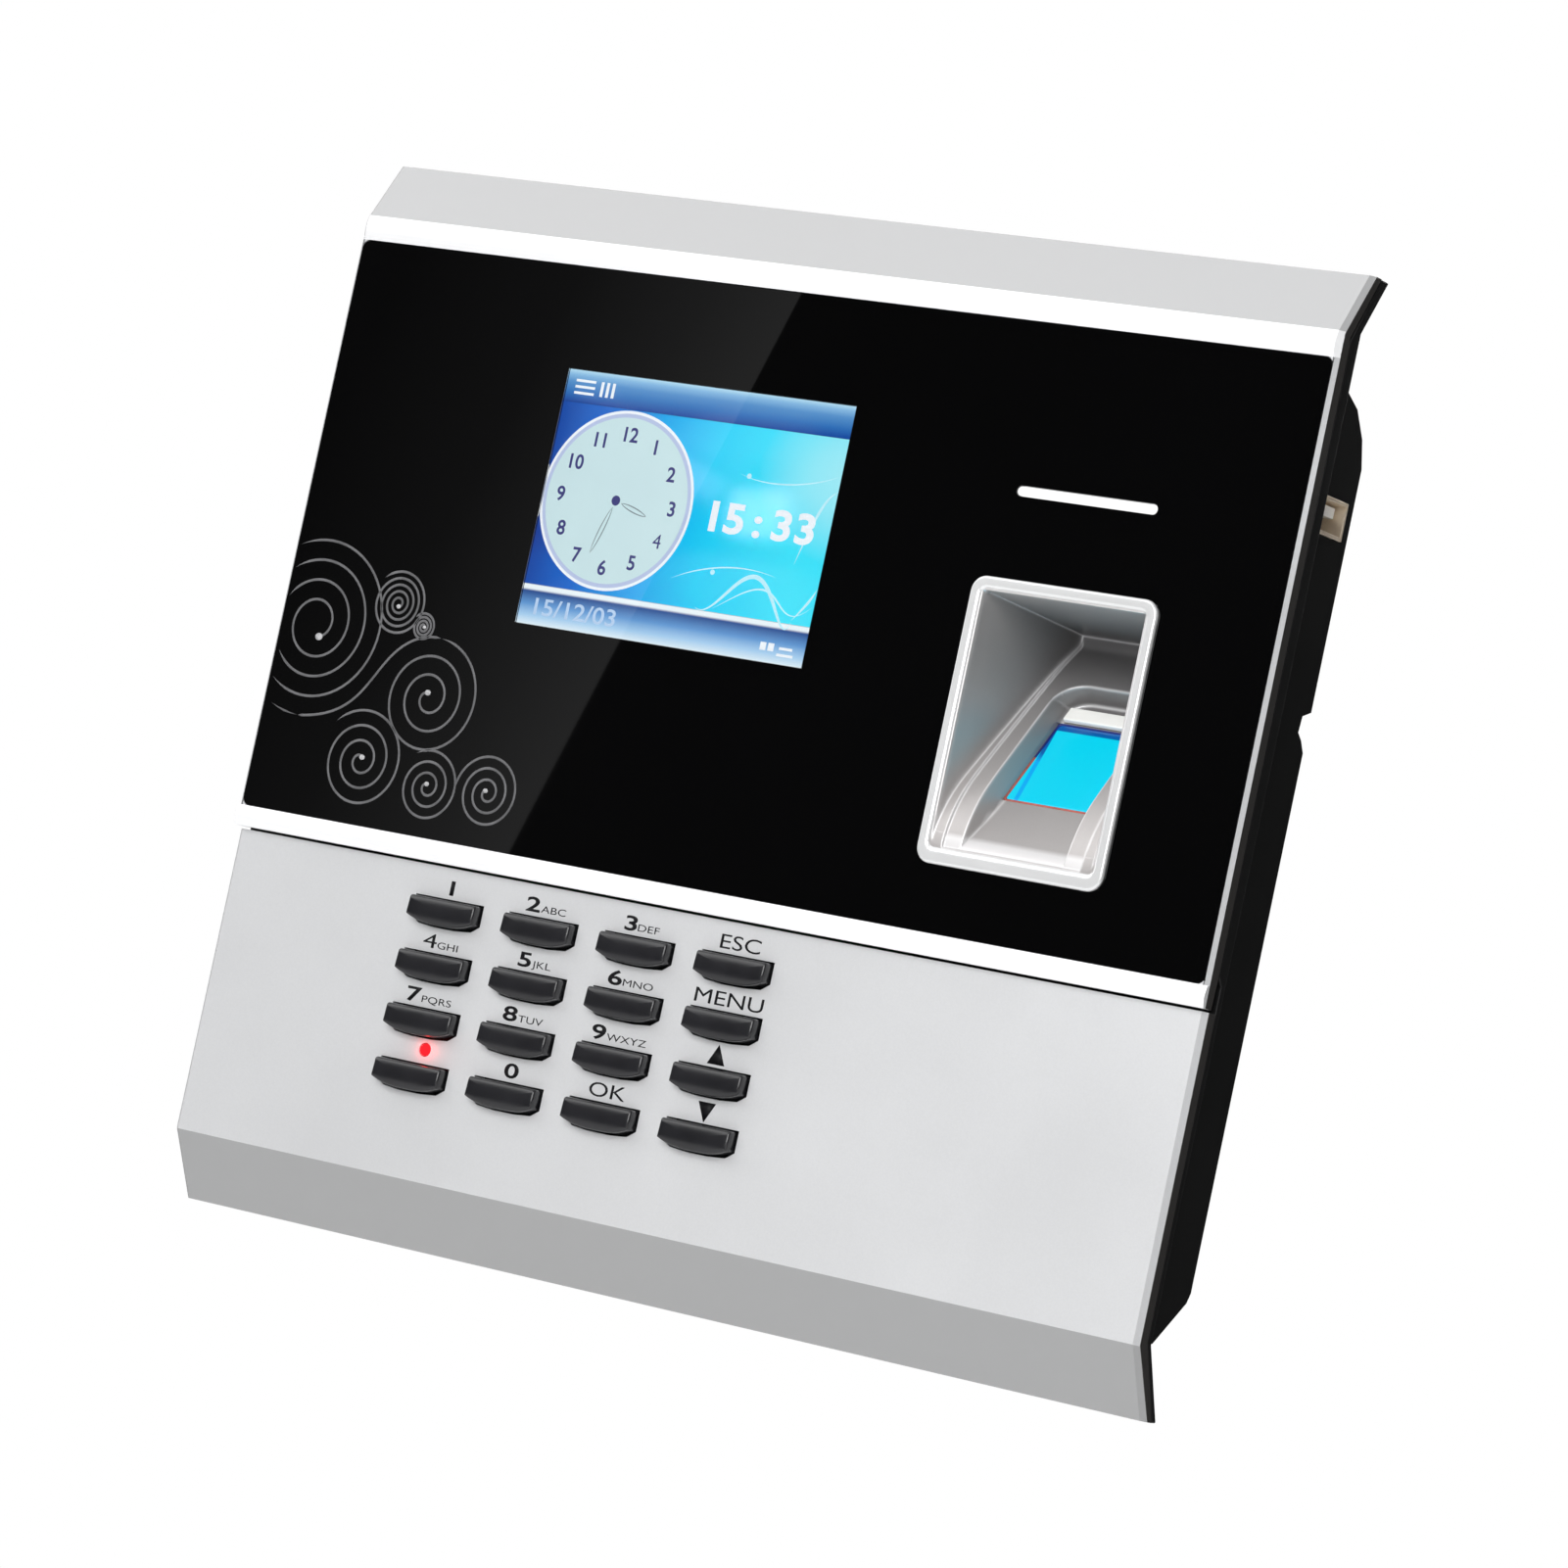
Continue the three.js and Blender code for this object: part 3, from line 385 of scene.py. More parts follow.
def glow(name, colour, strength=1.0, rough=0.3):
    """Lit finish: its colour is its own light, broken up a little by a fine noise."""
    made = finish(name, tuple(0.06 * c for c in colour), rough, raised=0, shine=0.0)
    tree = made.node_tree
    shader = tree.nodes["Principled BSDF"]
    noise = next(n for n in tree.nodes if n.type == "TEX_NOISE")
    light = ramp(tree, noise.outputs["Fac"], [(0.0, tuple(0.96 * c for c in colour)), (1.0, colour)])
    tree.links.new(light, shader.inputs["Emission Color"])
    shader.inputs["Emission Strength"].default_value = strength
    return made


def measured_from(tree, corner, scale, turn=(0, 0, 0)):
    """The piece's own place, measured from a corner along turned axes in units of scale."""
    place = tree.nodes.new("ShaderNodeTexCoord")
    fit = tree.nodes.new("ShaderNodeMapping")
    fit.vector_type = "TEXTURE"
    for name, value in (("Location", corner), ("Rotation", turn), ("Scale", scale)):
        fit.inputs[name].default_value = value
    tree.links.new(place.outputs["Object"], fit.inputs["Vector"])
    return fit.outputs["Vector"]


HEADER_FOOT, FOOT_TOP = 0.126, 0.844


def picture_finish():
    """The lit picture: down the screen a header, a page and a foot, each its own ramp of blues; the page
    also runs from deep blue on the left to cyan and a pale mint glow on the right."""
    made = bpy.data.materials.new("display_picture")
    made.use_nodes = True
    tree = made.node_tree
    nodes, links = tree.nodes, tree.links
    shader = nodes["Principled BSDF"]
    shader.inputs["Roughness"].default_value = 0.25
    shader.inputs["Base Color"].default_value = (0, 0, 0, 1)
    screen = measured_from(tree, (lens_low.x, 0, lens_high.z), (SCREEN_WIDE, 1, -SCREEN_TALL))
    across, _, down = axes_of(tree, screen)
    haze = noise_on(tree, screen, 2.2, 2, 0.6)
    page = ramp(tree, worked_out(tree, "MULTIPLY_ADD", haze, 0.22, across), [
        (0.05, (0.004, 0.040, 0.30)), (0.27, (0.0, 0.13, 0.60)), (0.48, (0.0, 0.38, 0.86)),
        (0.70, (0.01, 0.66, 0.98)), (0.98, (0.05, 0.80, 1.0))])
    corner_away = nodes.new("ShaderNodeVectorMath")
    corner_away.operation = "DISTANCE"
    corner_away.inputs[1].default_value = (1.05, 0, 0.27)
    links.new(screen, corner_away.inputs[0])
    shine = ramp(tree, corner_away.outputs["Value"], [(0.0, 0.85), (0.16, 0.55), (0.34, 0.0)])
    lit_page = painted(tree, shine, page, (0.50, 0.92, 0.97, 1))
    bands = ramp(tree, down, [
        (0.0, (0.50, 0.78, 0.95)), (0.018, (0.26, 0.52, 0.80)), (0.045, (0.10, 0.30, 0.62)),
        (0.085, (0.03, 0.17, 0.50)), (0.124, (0.005, 0.06, 0.34)), (0.128, 0.0),
        (0.842, 0.0), (0.846, (0.90, 0.97, 1.0)), (0.862, (0.90, 0.97, 1.0)),
        (0.870, (0.012, 0.06, 0.26)), (0.92, (0.12, 0.32, 0.66)), (0.965, (0.42, 0.66, 0.90)),
        (1.0, (0.80, 0.92, 0.98))])
    on_page = worked_out(tree, "COMPARE", down, (HEADER_FOOT + FOOT_TOP) / 2, (FOOT_TOP - HEADER_FOOT) / 2)
    links.new(painted(tree, on_page, bands, lit_page), shader.inputs["Emission Color"])
    shader.inputs["Emission Strength"].default_value = 1.0
    return made


corners = on_screen([0, 1, 1, 0], [0, 0, 1, 1], 1)
put("display_picture", *slab(corners, 0.01 * MM), picture_finish())

DIAL_U, DIAL_V = 0.256, 0.480
DIAL_RADIUS = 15.1


def around(radius_mm, count=96):
    """Points of a circle about the dial's centre, radius in mm, as screen shares."""
    turn = np.arange(count) * 2 * math.pi / count
    u = DIAL_U + radius_mm * MM * np.cos(turn) / SCREEN_WIDE
    v = DIAL_V - radius_mm * MM * np.sin(turn) / SCREEN_TALL
    return u, v


dial_white = glow("dial_white", (0.92, 0.96, 1.0))
dial_lilac = glow("dial_lilac", (0.50, 0.58, 0.80))
dial_mint = glow("dial_mint", (0.62, 0.80, 0.82))
dial_ink = glow("dial_ink", (0.05, 0.05, 0.20))
hand_grey = glow("hand_grey", (0.20, 0.25, 0.27))
put("dial_rim", *slab(on_screen(*around(DIAL_RADIUS), 2), 0.01 * MM), dial_white)
put("dial_ring", *slab(on_screen(*around(DIAL_RADIUS - 0.5), 3), 0.01 * MM), dial_lilac)
put("dial_face", *slab(on_screen(*around(DIAL_RADIUS - 1.15), 4), 0.01 * MM), dial_mint)


def lettering(text, size, centre, front, stretch=1.0, bold=0.0, thick=0.01, turn=0.0):
    """Flat printed figures: the outline font's shape, size high in mm, centred on (x, z) at depth front,
    widened by stretch, and thickened by bold unless that would close a 4. Font axes become X across, Z up,
    and the print's thickness towards the viewer."""
    curve = bpy.data.curves.new("print", "FONT")
    curve.body = text
    curve.size = size * MM * 1.37
    curve.extrude = thick * MM
    curve.offset = 0.0 if "4" in text else bold * MM
    curve.align_x = "CENTER"
    curve.resolution_u = 4
    holder = bpy.data.objects.new("print", curve)
    bpy.context.scene.collection.objects.link(holder)
    bpy.context.view_layer.update()
    flat = bpy.data.meshes.new_from_object(holder.evaluated_get(bpy.context.evaluated_depsgraph_get()))
    points = np.empty(len(flat.vertices) * 3)
    flat.vertices.foreach_get("co", points)
    points = points.reshape(-1, 3)
    faces = [list(face.vertices) for face in flat.polygons]
    bpy.data.objects.remove(holder)
    bpy.data.meshes.remove(flat)
    bpy.data.curves.remove(curve)
    x = points[:, 0] * stretch
    z = points[:, 1] - size * MM / 2
    c, s = math.cos(turn), math.sin(turn)
    placed = np.stack([centre[0] + c * x - s * z, front - points[:, 2], centre[1] + s * x + c * z], -1)
    return placed, faces


def screen_text(text, size, u, v, layer, **more):
    """Figures on the picture, centred on its point (u, v)."""
    spot = on_screen(u, v, layer)
    return lettering(text, size, (spot[0], spot[2]), spot[1], thick=0.005, **more)


numerals = []
for hour in range(1, 13):
    angle = math.pi / 2 - hour * math.pi / 6
    reach = 11.2 * MM
    u = DIAL_U + reach * math.cos(angle) / SCREEN_WIDE
    v = DIAL_V - reach * math.sin(angle) / SCREEN_TALL
    numerals.append(screen_text(str(hour), 2.5, u, v, 5, bold=0.07))
put("dial_numerals", *several(numerals), dial_ink)


def hand(length, half, angle, layer, inner):
    """Dial hand: a long thin leaf from near the centre, its width a low power of a half sine; inner sets it
    in by that much."""
    t = np.linspace(0, 1, 14)
    along = 1.2 + inner + (length - 1.2 - 2 * inner) * t
    wide = np.maximum((half - inner) * np.sin(math.pi * np.clip(t, 0.001, 0.999)) ** 0.6, 0.005)
    x = np.concatenate([along, along[::-1]]) * MM
    y = np.concatenate([wide, -wide[::-1]]) * MM
    u = DIAL_U + (x * math.cos(angle) - y * math.sin(angle)) / SCREEN_WIDE
    v = DIAL_V - (x * math.sin(angle) + y * math.cos(angle)) / SCREEN_TALL
    return slab(on_screen(u, v, layer), 0.008 * MM)


HOUR_ANGLE = math.pi / 2 - math.radians(106.5)
MINUTE_ANGLE = math.pi / 2 - math.radians(198)
hands = [hand(6.8, 0.5, HOUR_ANGLE, 6, 0), hand(9.6, 0.5, MINUTE_ANGLE, 6, 0)]
put("dial_hands", *several(hands), hand_grey)
hearts = [hand(6.8, 0.5, HOUR_ANGLE, 7, 0.2), hand(9.6, 0.5, MINUTE_ANGLE, 7, 0.2)]
put("dial_hand_hearts", *several(hearts), dial_mint)
put("dial_hub", *slab(on_screen(*around(0.85, 32), 8), 0.01 * MM), dial_ink)

time_parts = [screen_text(text, 5.0, u, 0.480, 5, stretch=1.25, bold=0.2)
              for text, u in (("1", 0.600), ("5", 0.672), (":", 0.752), ("3", 0.835), ("3", 0.915))]
put("time_figures", *several(time_parts), dial_white)


def bar_on_screen(u0, u1, v0, v1, layer=3):
    """Plain rectangle on the picture."""
    return slab(on_screen([u0, u1, u1, u0], [v0, v0, v1, v1], layer), 0.008 * MM)


marks = [bar_on_screen(0.03, 0.10, 0.035 + 0.024 * k, 0.045 + 0.024 * k) for k in range(3)]
marks += [bar_on_screen(0.12 + 0.02 * k, 0.13 + 0.02 * k, 0.035, 0.093) for k in range(3)]
marks += [bar_on_screen(0.845, 0.865, 0.925, 0.955), bar_on_screen(0.872, 0.892, 0.925, 0.955)]
marks += [bar_on_screen(0.91, 0.955, 0.935, 0.945), bar_on_screen(0.905, 0.96, 0.96, 0.97)]
put("page_marks", *several(marks), dial_white)
date_ink = glow("date_ink", (0.50, 0.66, 0.88))
put("date_figures", *screen_text("15/12/03", 2.9, 0.19, 0.925, 3, stretch=1.25, bold=0.04), date_ink)


def light_line(points, widest, layer):
    """Light wave on the picture: a ribbon about the smooth path through a few (u, v) points, thinning to
    nothing at both ends."""
    points = np.array(points, float)
    knots = np.linspace(0, 1, len(points))
    t = np.linspace(0, 1, 48)
    power = np.vander(knots, len(points))
    path = np.vander(t, len(points)) @ np.linalg.solve(power, points)
    x = path[:, 0] * SCREEN_WIDE
    z = path[:, 1] * SCREEN_TALL
    dx, dz = np.gradient(x), np.gradient(z)
    length = np.hypot(dx, dz)
    half = widest * MM * (0.06 + 0.94 * np.sin(math.pi * t)) / 2
    ox, oz = -dz / length * half, dx / length * half
    u = np.concatenate([x + ox, (x - ox)[::-1]]) / SCREEN_WIDE
    v = np.concatenate([z + oz, (z - oz)[::-1]]) / SCREEN_TALL
    return slab(on_screen(u, v, layer), 0.008 * MM)


wave_light = glow("wave_light", (0.55, 0.90, 1.0))
waves = [
    light_line([(0.60, 0.835), (0.70, 0.76), (0.79, 0.69), (0.87, 0.80), (0.93, 0.838)], 0.75, 3),
    light_line([(0.66, 0.83), (0.76, 0.75), (0.84, 0.74), (0.90, 0.80), (0.99, 0.77)], 0.35, 3),
    light_line([(0.50, 0.74), (0.60, 0.69), (0.72, 0.665), (0.85, 0.68)], 0.25, 3),
    light_line([(0.66, 0.31), (0.78, 0.33), (0.90, 0.31), (0.99, 0.27)], 0.25, 3),
    light_line([(0.90, 0.62), (0.93, 0.48), (0.96, 0.38), (0.995, 0.33)], 0.5, 3),
    light_line([(0.93, 0.83), (0.96, 0.78), (0.98, 0.74), (0.995, 0.70)], 0.45, 3),
]
SPARK = 0.45 * MM
for u, v in ((0.69, 0.315), (0.635, 0.695)):
    turn = np.arange(20) * math.pi / 10
    spark_u, spark_v = SPARK * np.cos(turn) / SCREEN_WIDE, SPARK * np.sin(turn) / SCREEN_TALL
    waves.append(slab(on_screen(u + spark_u, v + spark_v, 4), 0.008 * MM))
put("light_waves", *several(waves), wave_light)


# ---- glass panel and lens ----
# One cover panel: mirror-gloss glass printed black on its back, with a clear window over the display.

black_glass = finish("black_glass", (0.0008, 0.0008, 0.0009), 0.012, tint=0.2, cloud=12, raised=0,
                     swing=0.01)
dress("glass_panel", black_glass, 0.12, sheet=True)


def clear_finish(name):
    """Clear hard-coated lens: smooth refracting body whose gloss is barely uneven."""
    made = finish(name, (0.96, 0.98, 1.0), 0.0, raised=0, tint=0.01, swing=0.004)
    shader = made.node_tree.nodes["Principled BSDF"]
    shader.inputs["Transmission Weight"].default_value = 1.0
    shader.inputs["IOR"].default_value = 1.45
    return made


LENS_THICK = 0.2
cover = on_screen([0, 1, 1, 0], [0, 0, 1, 1], 0)
cover[:, 1] = lens_low.y
lens_sheet = put("lens_sheet", *slab(cover, LENS_THICK * MM), clear_finish("clear_lens"), smooth=False)
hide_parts("display_lens")


# ---- printed spirals ----
# A cloud of spirals in fine grey ink on the glass, each winding out from a small blob at its centre.

GLASS_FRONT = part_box("glass_panel")[0].y
GLASS_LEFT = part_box("glass_panel")[0].x
spiral_ink = finish("spiral_ink", (0.105, 0.105, 0.11), 0.5, tint=0.25, cloud=300, raised=0)


def printed_line(x, z, half, front):
    """Fine raised line of ink: a flat lens-shaped section carried along the path (x, z), ends tapered."""
    t = np.linspace(0, 1, len(x))
    dx, dz = np.gradient(x), np.gradient(z)
    length = np.hypot(dx, dz)
    across = np.stack([-dz / length, np.zeros_like(x), dx / length], -1)
    taper = np.clip(np.minimum(t, 1 - t) * len(x) / 3, 0.0, 1.0)
    taper[0] = taper[-1] = 0.0
    turn = np.arange(6) * math.pi / 3
    side, rise = half * np.cos(turn), 0.008 * MM * np.sin(turn)
    centre = np.stack([x, np.full_like(x, front), z], -1)
    ring = centre[:, None, :] + across[:, None, :] * (side[None, :] * taper[:, None])[..., None]
    ring[..., 1] += rise[None, :] * taper[:, None]
    return ring.reshape(-1, 3), grid_faces(len(x), 6, close_columns=True).tolist()


def spiral(cx, cz, outer, turns, start, inner):
    """Even spiral: wound anticlockwise over its turns from the start angle in degrees, while the radius grows
    evenly from inner times outer to outer."""
    t = np.linspace(0, 1, int(64 * turns) + 1)
    radius = outer * (inner + (1 - inner) * t)
    angle = math.radians(start) + 2 * math.pi * turns * t
    return (cx + radius * np.cos(angle)) * MM, (cz + radius * np.sin(angle)) * MM


# Centre across and up, outer radius, turns, start angle in degrees, and the inner radius as a share.
SPIRALS = [
    (-86.9, 9.7, 15.9, 3.93, -64, 0.157),
    (-60.7, 0.3, 10.2, 2.947, 109, 0.093),
    (-70.8, 15.1, 5.6, 4.6, -80, 0.08),
    (-64.8, 11.9, 2.4, 3.4, 0, 0.10),
    (-71.8, -11.9, 8.8, 3.2, 67, 0.07),
    (-57.15, -14.3, 6.3, 3.05, 106, 0.08),
    (-44.9, -13.6, 6.6, 3.15, 131, 0.083),
]
LINE_HALF = 0.23 * MM
ink_lines, blobs = [], []


def printed_on_glass(x, z):
    """Printed lines for the runs of a path that lie on the glass, clipped at its left edge."""
    on_glass = x > GLASS_LEFT + 0.3 * MM
    cuts = np.flatnonzero(np.diff(on_glass.astype(int))) + 1
    runs = [run for run in np.split(np.arange(len(x)), cuts) if on_glass[run[0]] and len(run) > 3]
    return [printed_line(x[run], z[run], LINE_HALF, GLASS_FRONT) for run in runs]


ends = []
for cx, cz, outer, turns, start, inner in SPIRALS:
    x, z = spiral(cx, cz, outer, turns, start, inner)
    ink_lines += printed_on_glass(x, z)
    ends.append((x[-1] / MM, z[-1] / MM))
    turn = np.arange(16) * math.pi / 8
    wide = 0.3 + 0.03 * outer
    blobs.append(slab(np.stack([x[0] + wide * MM * np.cos(turn), np.full(16, GLASS_FRONT - 0.009 * MM),
                                z[0] + 0.8 * wide * MM * np.sin(turn)], -1), 0.008 * MM))
join = np.array([ends[0], (-78.5, -3.9), (-73.2, 1.5), (-69.9, 6.4), (-66.4, 9.3), ends[1]])
knots = np.cumsum([0, *np.hypot(*np.diff(join, axis=0).T)])
knots = knots / knots[-1]
path = np.vander(np.linspace(0, 1, 90), len(join)) @ np.linalg.solve(np.vander(knots, len(join)), join)
ink_lines += printed_on_glass(path[:, 0] * MM, path[:, 1] * MM)
blob_ink = finish("blob_ink", (0.42, 0.42, 0.43), 0.45, tint=0.25, cloud=900, raised=0)
put("spiral_centres", *several(blobs), blob_ink)
put("printed_spirals", *several(ink_lines), spiral_ink)


# ---- light bar ----
# Milky acrylic light guide: its rib fills a slot in the glass, lit white from behind.

dress("light_bar", glow("lit_acrylic", (0.95, 0.95, 0.95), 1.1), 0.2)


# ---- finger cavity ----
# One bright-silver moulding: a proud rounded rim, funnel walls with draft, and a ramp that rolls over at its
# toe, with a round-topped recess that holds the sensor.

# The funnel's silver is kept dark: painted shade in the hollow.
bright_silver = finish("bright_silver", (0.43, 0.41, 0.405), 0.4, metal=0.3, tint=0.03, cloud=60, grain=2600,
                       raised=0.006, speck=0.3)
bezel_low, bezel_high = (np.array(corner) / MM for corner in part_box("fingerprint_bezel"))
glass_mm = GLASS_FRONT / MM
MIDDLE = (bezel_low[0] + bezel_high[0]) / 2
RIM = 2.1
OPEN_LEFT, OPEN_RIGHT = bezel_low[0] + RIM, bezel_high[0] - RIM
CEILING = bezel_high[2] - RIM
TOE_END = bezel_low[2] + 2.85
TILT = math.radians(40.5)
FOOT_Z = -2.9
BACK_WALL = -11.2
WALL_DRAFT, CEILING_DRAFT = 9.66, 14.9
RECESS_HALF, RECESS_TOP, RECESS_DEPTH, RECESS_CORNER = 9.5, 32.3, 4.2, 5.0
SENSOR_HALF, SENSOR_LOW, SENSOR_HIGH = 8.65, 8.0, 27.0


def rounded_loop(x0, x1, z0, z1, radius, per_side=10, per_corner=10):
    """Closed loop (x, z): four straight sides joined by quarter circles, the same number of points on each,
    so that two such loops match point by point."""
    quarter = np.linspace(0, math.pi / 2, per_corner)
    straight = np.linspace(0, 1, per_side + 2)[1:-1]
    centres = [(x1 - radius, z0 + radius), (x1 - radius, z1 - radius), (x0 + radius, z1 - radius),
               (x0 + radius, z0 + radius)]
    arcs = [np.stack([cx + radius * np.cos(quarter + (k - 1) * math.pi / 2),
                      cz + radius * np.sin(quarter + (k - 1) * math.pi / 2)], -1)
            for k, (cx, cz) in enumerate(centres)]
    pieces = []
    for k, arc in enumerate(arcs):
        nearby = arcs[(k + 1) % 4][0]
        pieces += [arc, arc[-1] + (nearby - arc[-1]) * straight[:, None]]
    return np.vstack(pieces)


def rim_section(corner=0.45, lip=0.85, steps=7):
    """Section of the rim as (share of the way in, depth): up the outside, a round of radius corner, a flat
    top, a larger round into the mouth, down the wall's draft, and back underneath."""
    top = bezel_low[1]
    turn = np.linspace(0, math.pi / 2, steps)
    outside = np.stack([corner * (1 - np.cos(turn)), top + corner * (1 - np.sin(turn))], -1)
    inside = np.stack([RIM - lip + lip * np.sin(turn), top + lip * (1 - np.cos(turn))], -1)
    wall = np.array([[RIM + 0.18, glass_mm + 1.2], [RIM - 0.1, glass_mm + 1.4], [0.5, glass_mm + 0.3],
                     [0.0, glass_mm + 0.02]])
    return np.vstack([outside, inside, wall])


section = rim_section()
outer_loop = rounded_loop(bezel_low[0], bezel_high[0], bezel_low[2], bezel_high[2], 2.6)
inner_loop = rounded_loop(OPEN_LEFT, OPEN_RIGHT, TOE_END, CEILING, 0.9)
share = (section[:, 0] / RIM)[:, None, None]
flat_loops = outer_loop[None] * (1 - share) + inner_loop[None] * share
depth = np.broadcast_to(section[:, 1][:, None, None], (*flat_loops.shape[:2], 1))
rim_points = np.concatenate([flat_loops[..., :1], depth, flat_loops[..., 1:]], -1) * MM
# The rim is painted much lighter than the funnel's silver of the same moulding: painted highlight on the rim.
lit_rim_silver = finish("lit_rim_silver", (0.76, 0.765, 0.77), 0.22, metal=0.35, tint=0.02, cloud=60, grain=2600,
                    raised=0.004)
rim = put("bezel_rim", rim_points.reshape(-1, 3),
          grid_faces(len(section), len(outer_loop), close_rows=True, close_columns=True), lit_rim_silver)


def smooth_least(a, b, r):
    """The lesser of two depths, blended over r so that their meeting line is a fillet."""
    return 0.5 * (a + b - np.sqrt((a - b) ** 2 + r * r))


def smooth_most(a, b, r):
    """The greater of two depths, blended in the same way."""
    return 0.5 * (a + b + np.sqrt((a - b) ** 2 + r * r))


def cavity_depth(x, z):
    """Depth of the cavity behind each point (x, z) of its mouth: the least of two drafted walls, a sloping
    ceiling, the back and the foot wall, and of the ramp, which is the plane tilted TILT from vertical that
    rolls over into a flat toe, sunk by the recess inside the recess's round-topped outline."""
    off = np.abs(x - MIDDLE)
    plane = glass_mm + (z - FOOT_Z) * math.tan(TILT)
    roll = glass_mm + 0.1 + 0.085 * np.clip(z - TOE_END - 0.2, 0, None) ** 1.6
    strips = smooth_most(plane, roll, 0.8)
    off_wall = (OPEN_RIGHT - 0.1 - (strips - glass_mm) / WALL_DRAFT) - MIDDLE - off
    strips = strips - np.clip((0.7 + (24 - z) * 0.05 - off_wall) * 1.6, 0, 0.4)
    floor = plane + RECESS_DEPTH / math.cos(TILT)
    beyond = np.clip(off - (RECESS_HALF - RECESS_CORNER), 0, RECESS_CORNER - 1e-3)
    reach = RECESS_TOP - RECESS_CORNER + np.sqrt(RECESS_CORNER ** 2 - beyond ** 2)
    end_wall = glass_mm + (reach - (z - FOOT_Z) * math.cos(TILT)) / math.sin(TILT)
    side_wall = strips + (RECESS_HALF - off) * 5
    lip = glass_mm + 0.25 + 0.6 * np.clip(z - TOE_END, 0, None) ** 1.3
    recess = smooth_least(smooth_least(smooth_least(floor, end_wall, 0.6), side_wall, 0.5), lip, 0.8)
    ramp_face = smooth_most(strips, recess, 0.3)
    left = glass_mm + (x - OPEN_LEFT - 0.1) * WALL_DRAFT
    right = glass_mm + (OPEN_RIGHT - 0.1 - x) * WALL_DRAFT
    ceiling = glass_mm - 2 + (CEILING - z) * CEILING_DRAFT
    foot = glass_mm + (z - TOE_END) * 12
    back = np.full_like(x, BACK_WALL)
    deep = smooth_least(smooth_least(ramp_face, back, 0.5), ceiling, 0.7)
    for wall in (left, right, foot):
        deep = smooth_least(deep, wall, 0.7)
    return np.maximum(deep, glass_mm - 0.3)


def creases(x, z, y):
    """Painted highlight amount at each point: the turn of its unit normal per mm travelled along either grid
    direction, 0 where the bend's radius is over 2.5 mm and 1 where it is under 0.7 mm, softened over its
    neighbours, and full along the toe's lowest band where it lies behind the glass's front."""
    dz, dx = np.gradient(y, z[:, 0], x[0])
    normal = np.stack([dx, -np.ones_like(y), dz], -1)
    normal /= np.linalg.norm(normal, axis=-1, keepdims=True)
    bend = np.zeros_like(y)
    for axis, line, slope in ((0, z[:, 0], dz), (1, x[0], dx)):
        turned = np.linalg.norm(np.gradient(normal, line, axis=axis), axis=-1)
        bend = np.maximum(bend, turned / np.sqrt(1 + slope ** 2))
    mark = np.clip((bend - 0.4) / 1.2, 0, 1)
    for _ in range(2):
        nearby = [np.roll(mark, step, axis) for axis in (0, 1) for step in (1, -1)]
        mark = (mark + sum(nearby)) / 5
    return np.maximum(mark, np.clip((TOE_END + 2.6 - z) * 1.2, 0, 1) * (y > glass_mm))


def spaced(*stretches):
    """Grid lines: for each (start, end, step), even lines, all joined and sorted."""
    lines = [np.linspace(a, b, max(int(round((b - a) / step)), 1) + 1) for a, b, step in stretches]
    return np.unique(np.round(np.concatenate(lines), 4))


pocket_low, pocket_high = (FOOT_Z + v * math.cos(TILT) - RECESS_DEPTH * math.sin(TILT)
                           for v in (SENSOR_LOW, SENSOR_HIGH))
POCKET_DEEP = 3.4


def pocket_depth(x, z):
    """Extra depth of the sensor's window, with upright sides."""
    inside = (np.abs(x - MIDDLE) < SENSOR_HALF) & (z > pocket_low) & (z < pocket_high)
    return np.where(inside, POCKET_DEEP, 0.0)


body_left = bezel_low[0] + 0.9
body_foot, body_top = bezel_low[2] + 0.9, bezel_high[2] - 0.9
STEP_PAIR = np.array([-0.01, 0.01])
across = spaced((body_left, OPEN_LEFT, 0.3), (OPEN_LEFT, MIDDLE - RECESS_HALF - 0.4, 0.085),
                (MIDDLE - RECESS_HALF - 0.4, MIDDLE - RECESS_HALF + 0.6, 0.06),
                (MIDDLE - RECESS_HALF + 0.6, MIDDLE - 4.2, 0.2), (MIDDLE - 4.2, MIDDLE, 0.6))
across = np.unique(np.concatenate([across, MIDDLE - SENSOR_HALF + STEP_PAIR]))
across = np.concatenate([across, (2 * MIDDLE - across)[::-1][1:]])
upward = spaced((body_foot, TOE_END, 0.4), (TOE_END, TOE_END + 2.6, 0.1), (TOE_END + 2.6, 1.0, 0.22),
                (1.0, 16.0, 0.4), (16.0, 22.6, 0.11), (22.6, CEILING - 2.6, 0.35),
                (CEILING - 2.6, CEILING + 0.1, 0.09), (CEILING + 0.1, body_top, 0.4))
upward = np.unique(np.concatenate([upward, pocket_low + STEP_PAIR, pocket_high + STEP_PAIR]))
gx, gz = np.meshgrid(across, upward)
gy = cavity_depth(gx, gz)
# Painted highlight amounts: lighter along bends and at the toe.
painted_highlight = creases(gx, gz, gy)
gy = gy + pocket_depth(gx, gz)
front = np.stack([gx, gy, gz], -1)
rows, columns = gx.shape
inner = front.reshape(-1, 3)
index = np.arange(rows * columns).reshape(rows, columns)
border = np.concatenate([index[0, :-1], index[:-1, -1], index[-1, :0:-1], index[:0:-1, 0]])
behind = inner[border].copy()
behind[:, 1] = bezel_high[1]
start = rows * columns
ring = np.arange(len(border))
after = (ring + 1) % len(border)
skirt = np.stack([border, border[after], start + after, start + ring], -1)
body_faces = grid_faces(rows, columns).tolist() + skirt.tolist() + [(start + ring).tolist()]


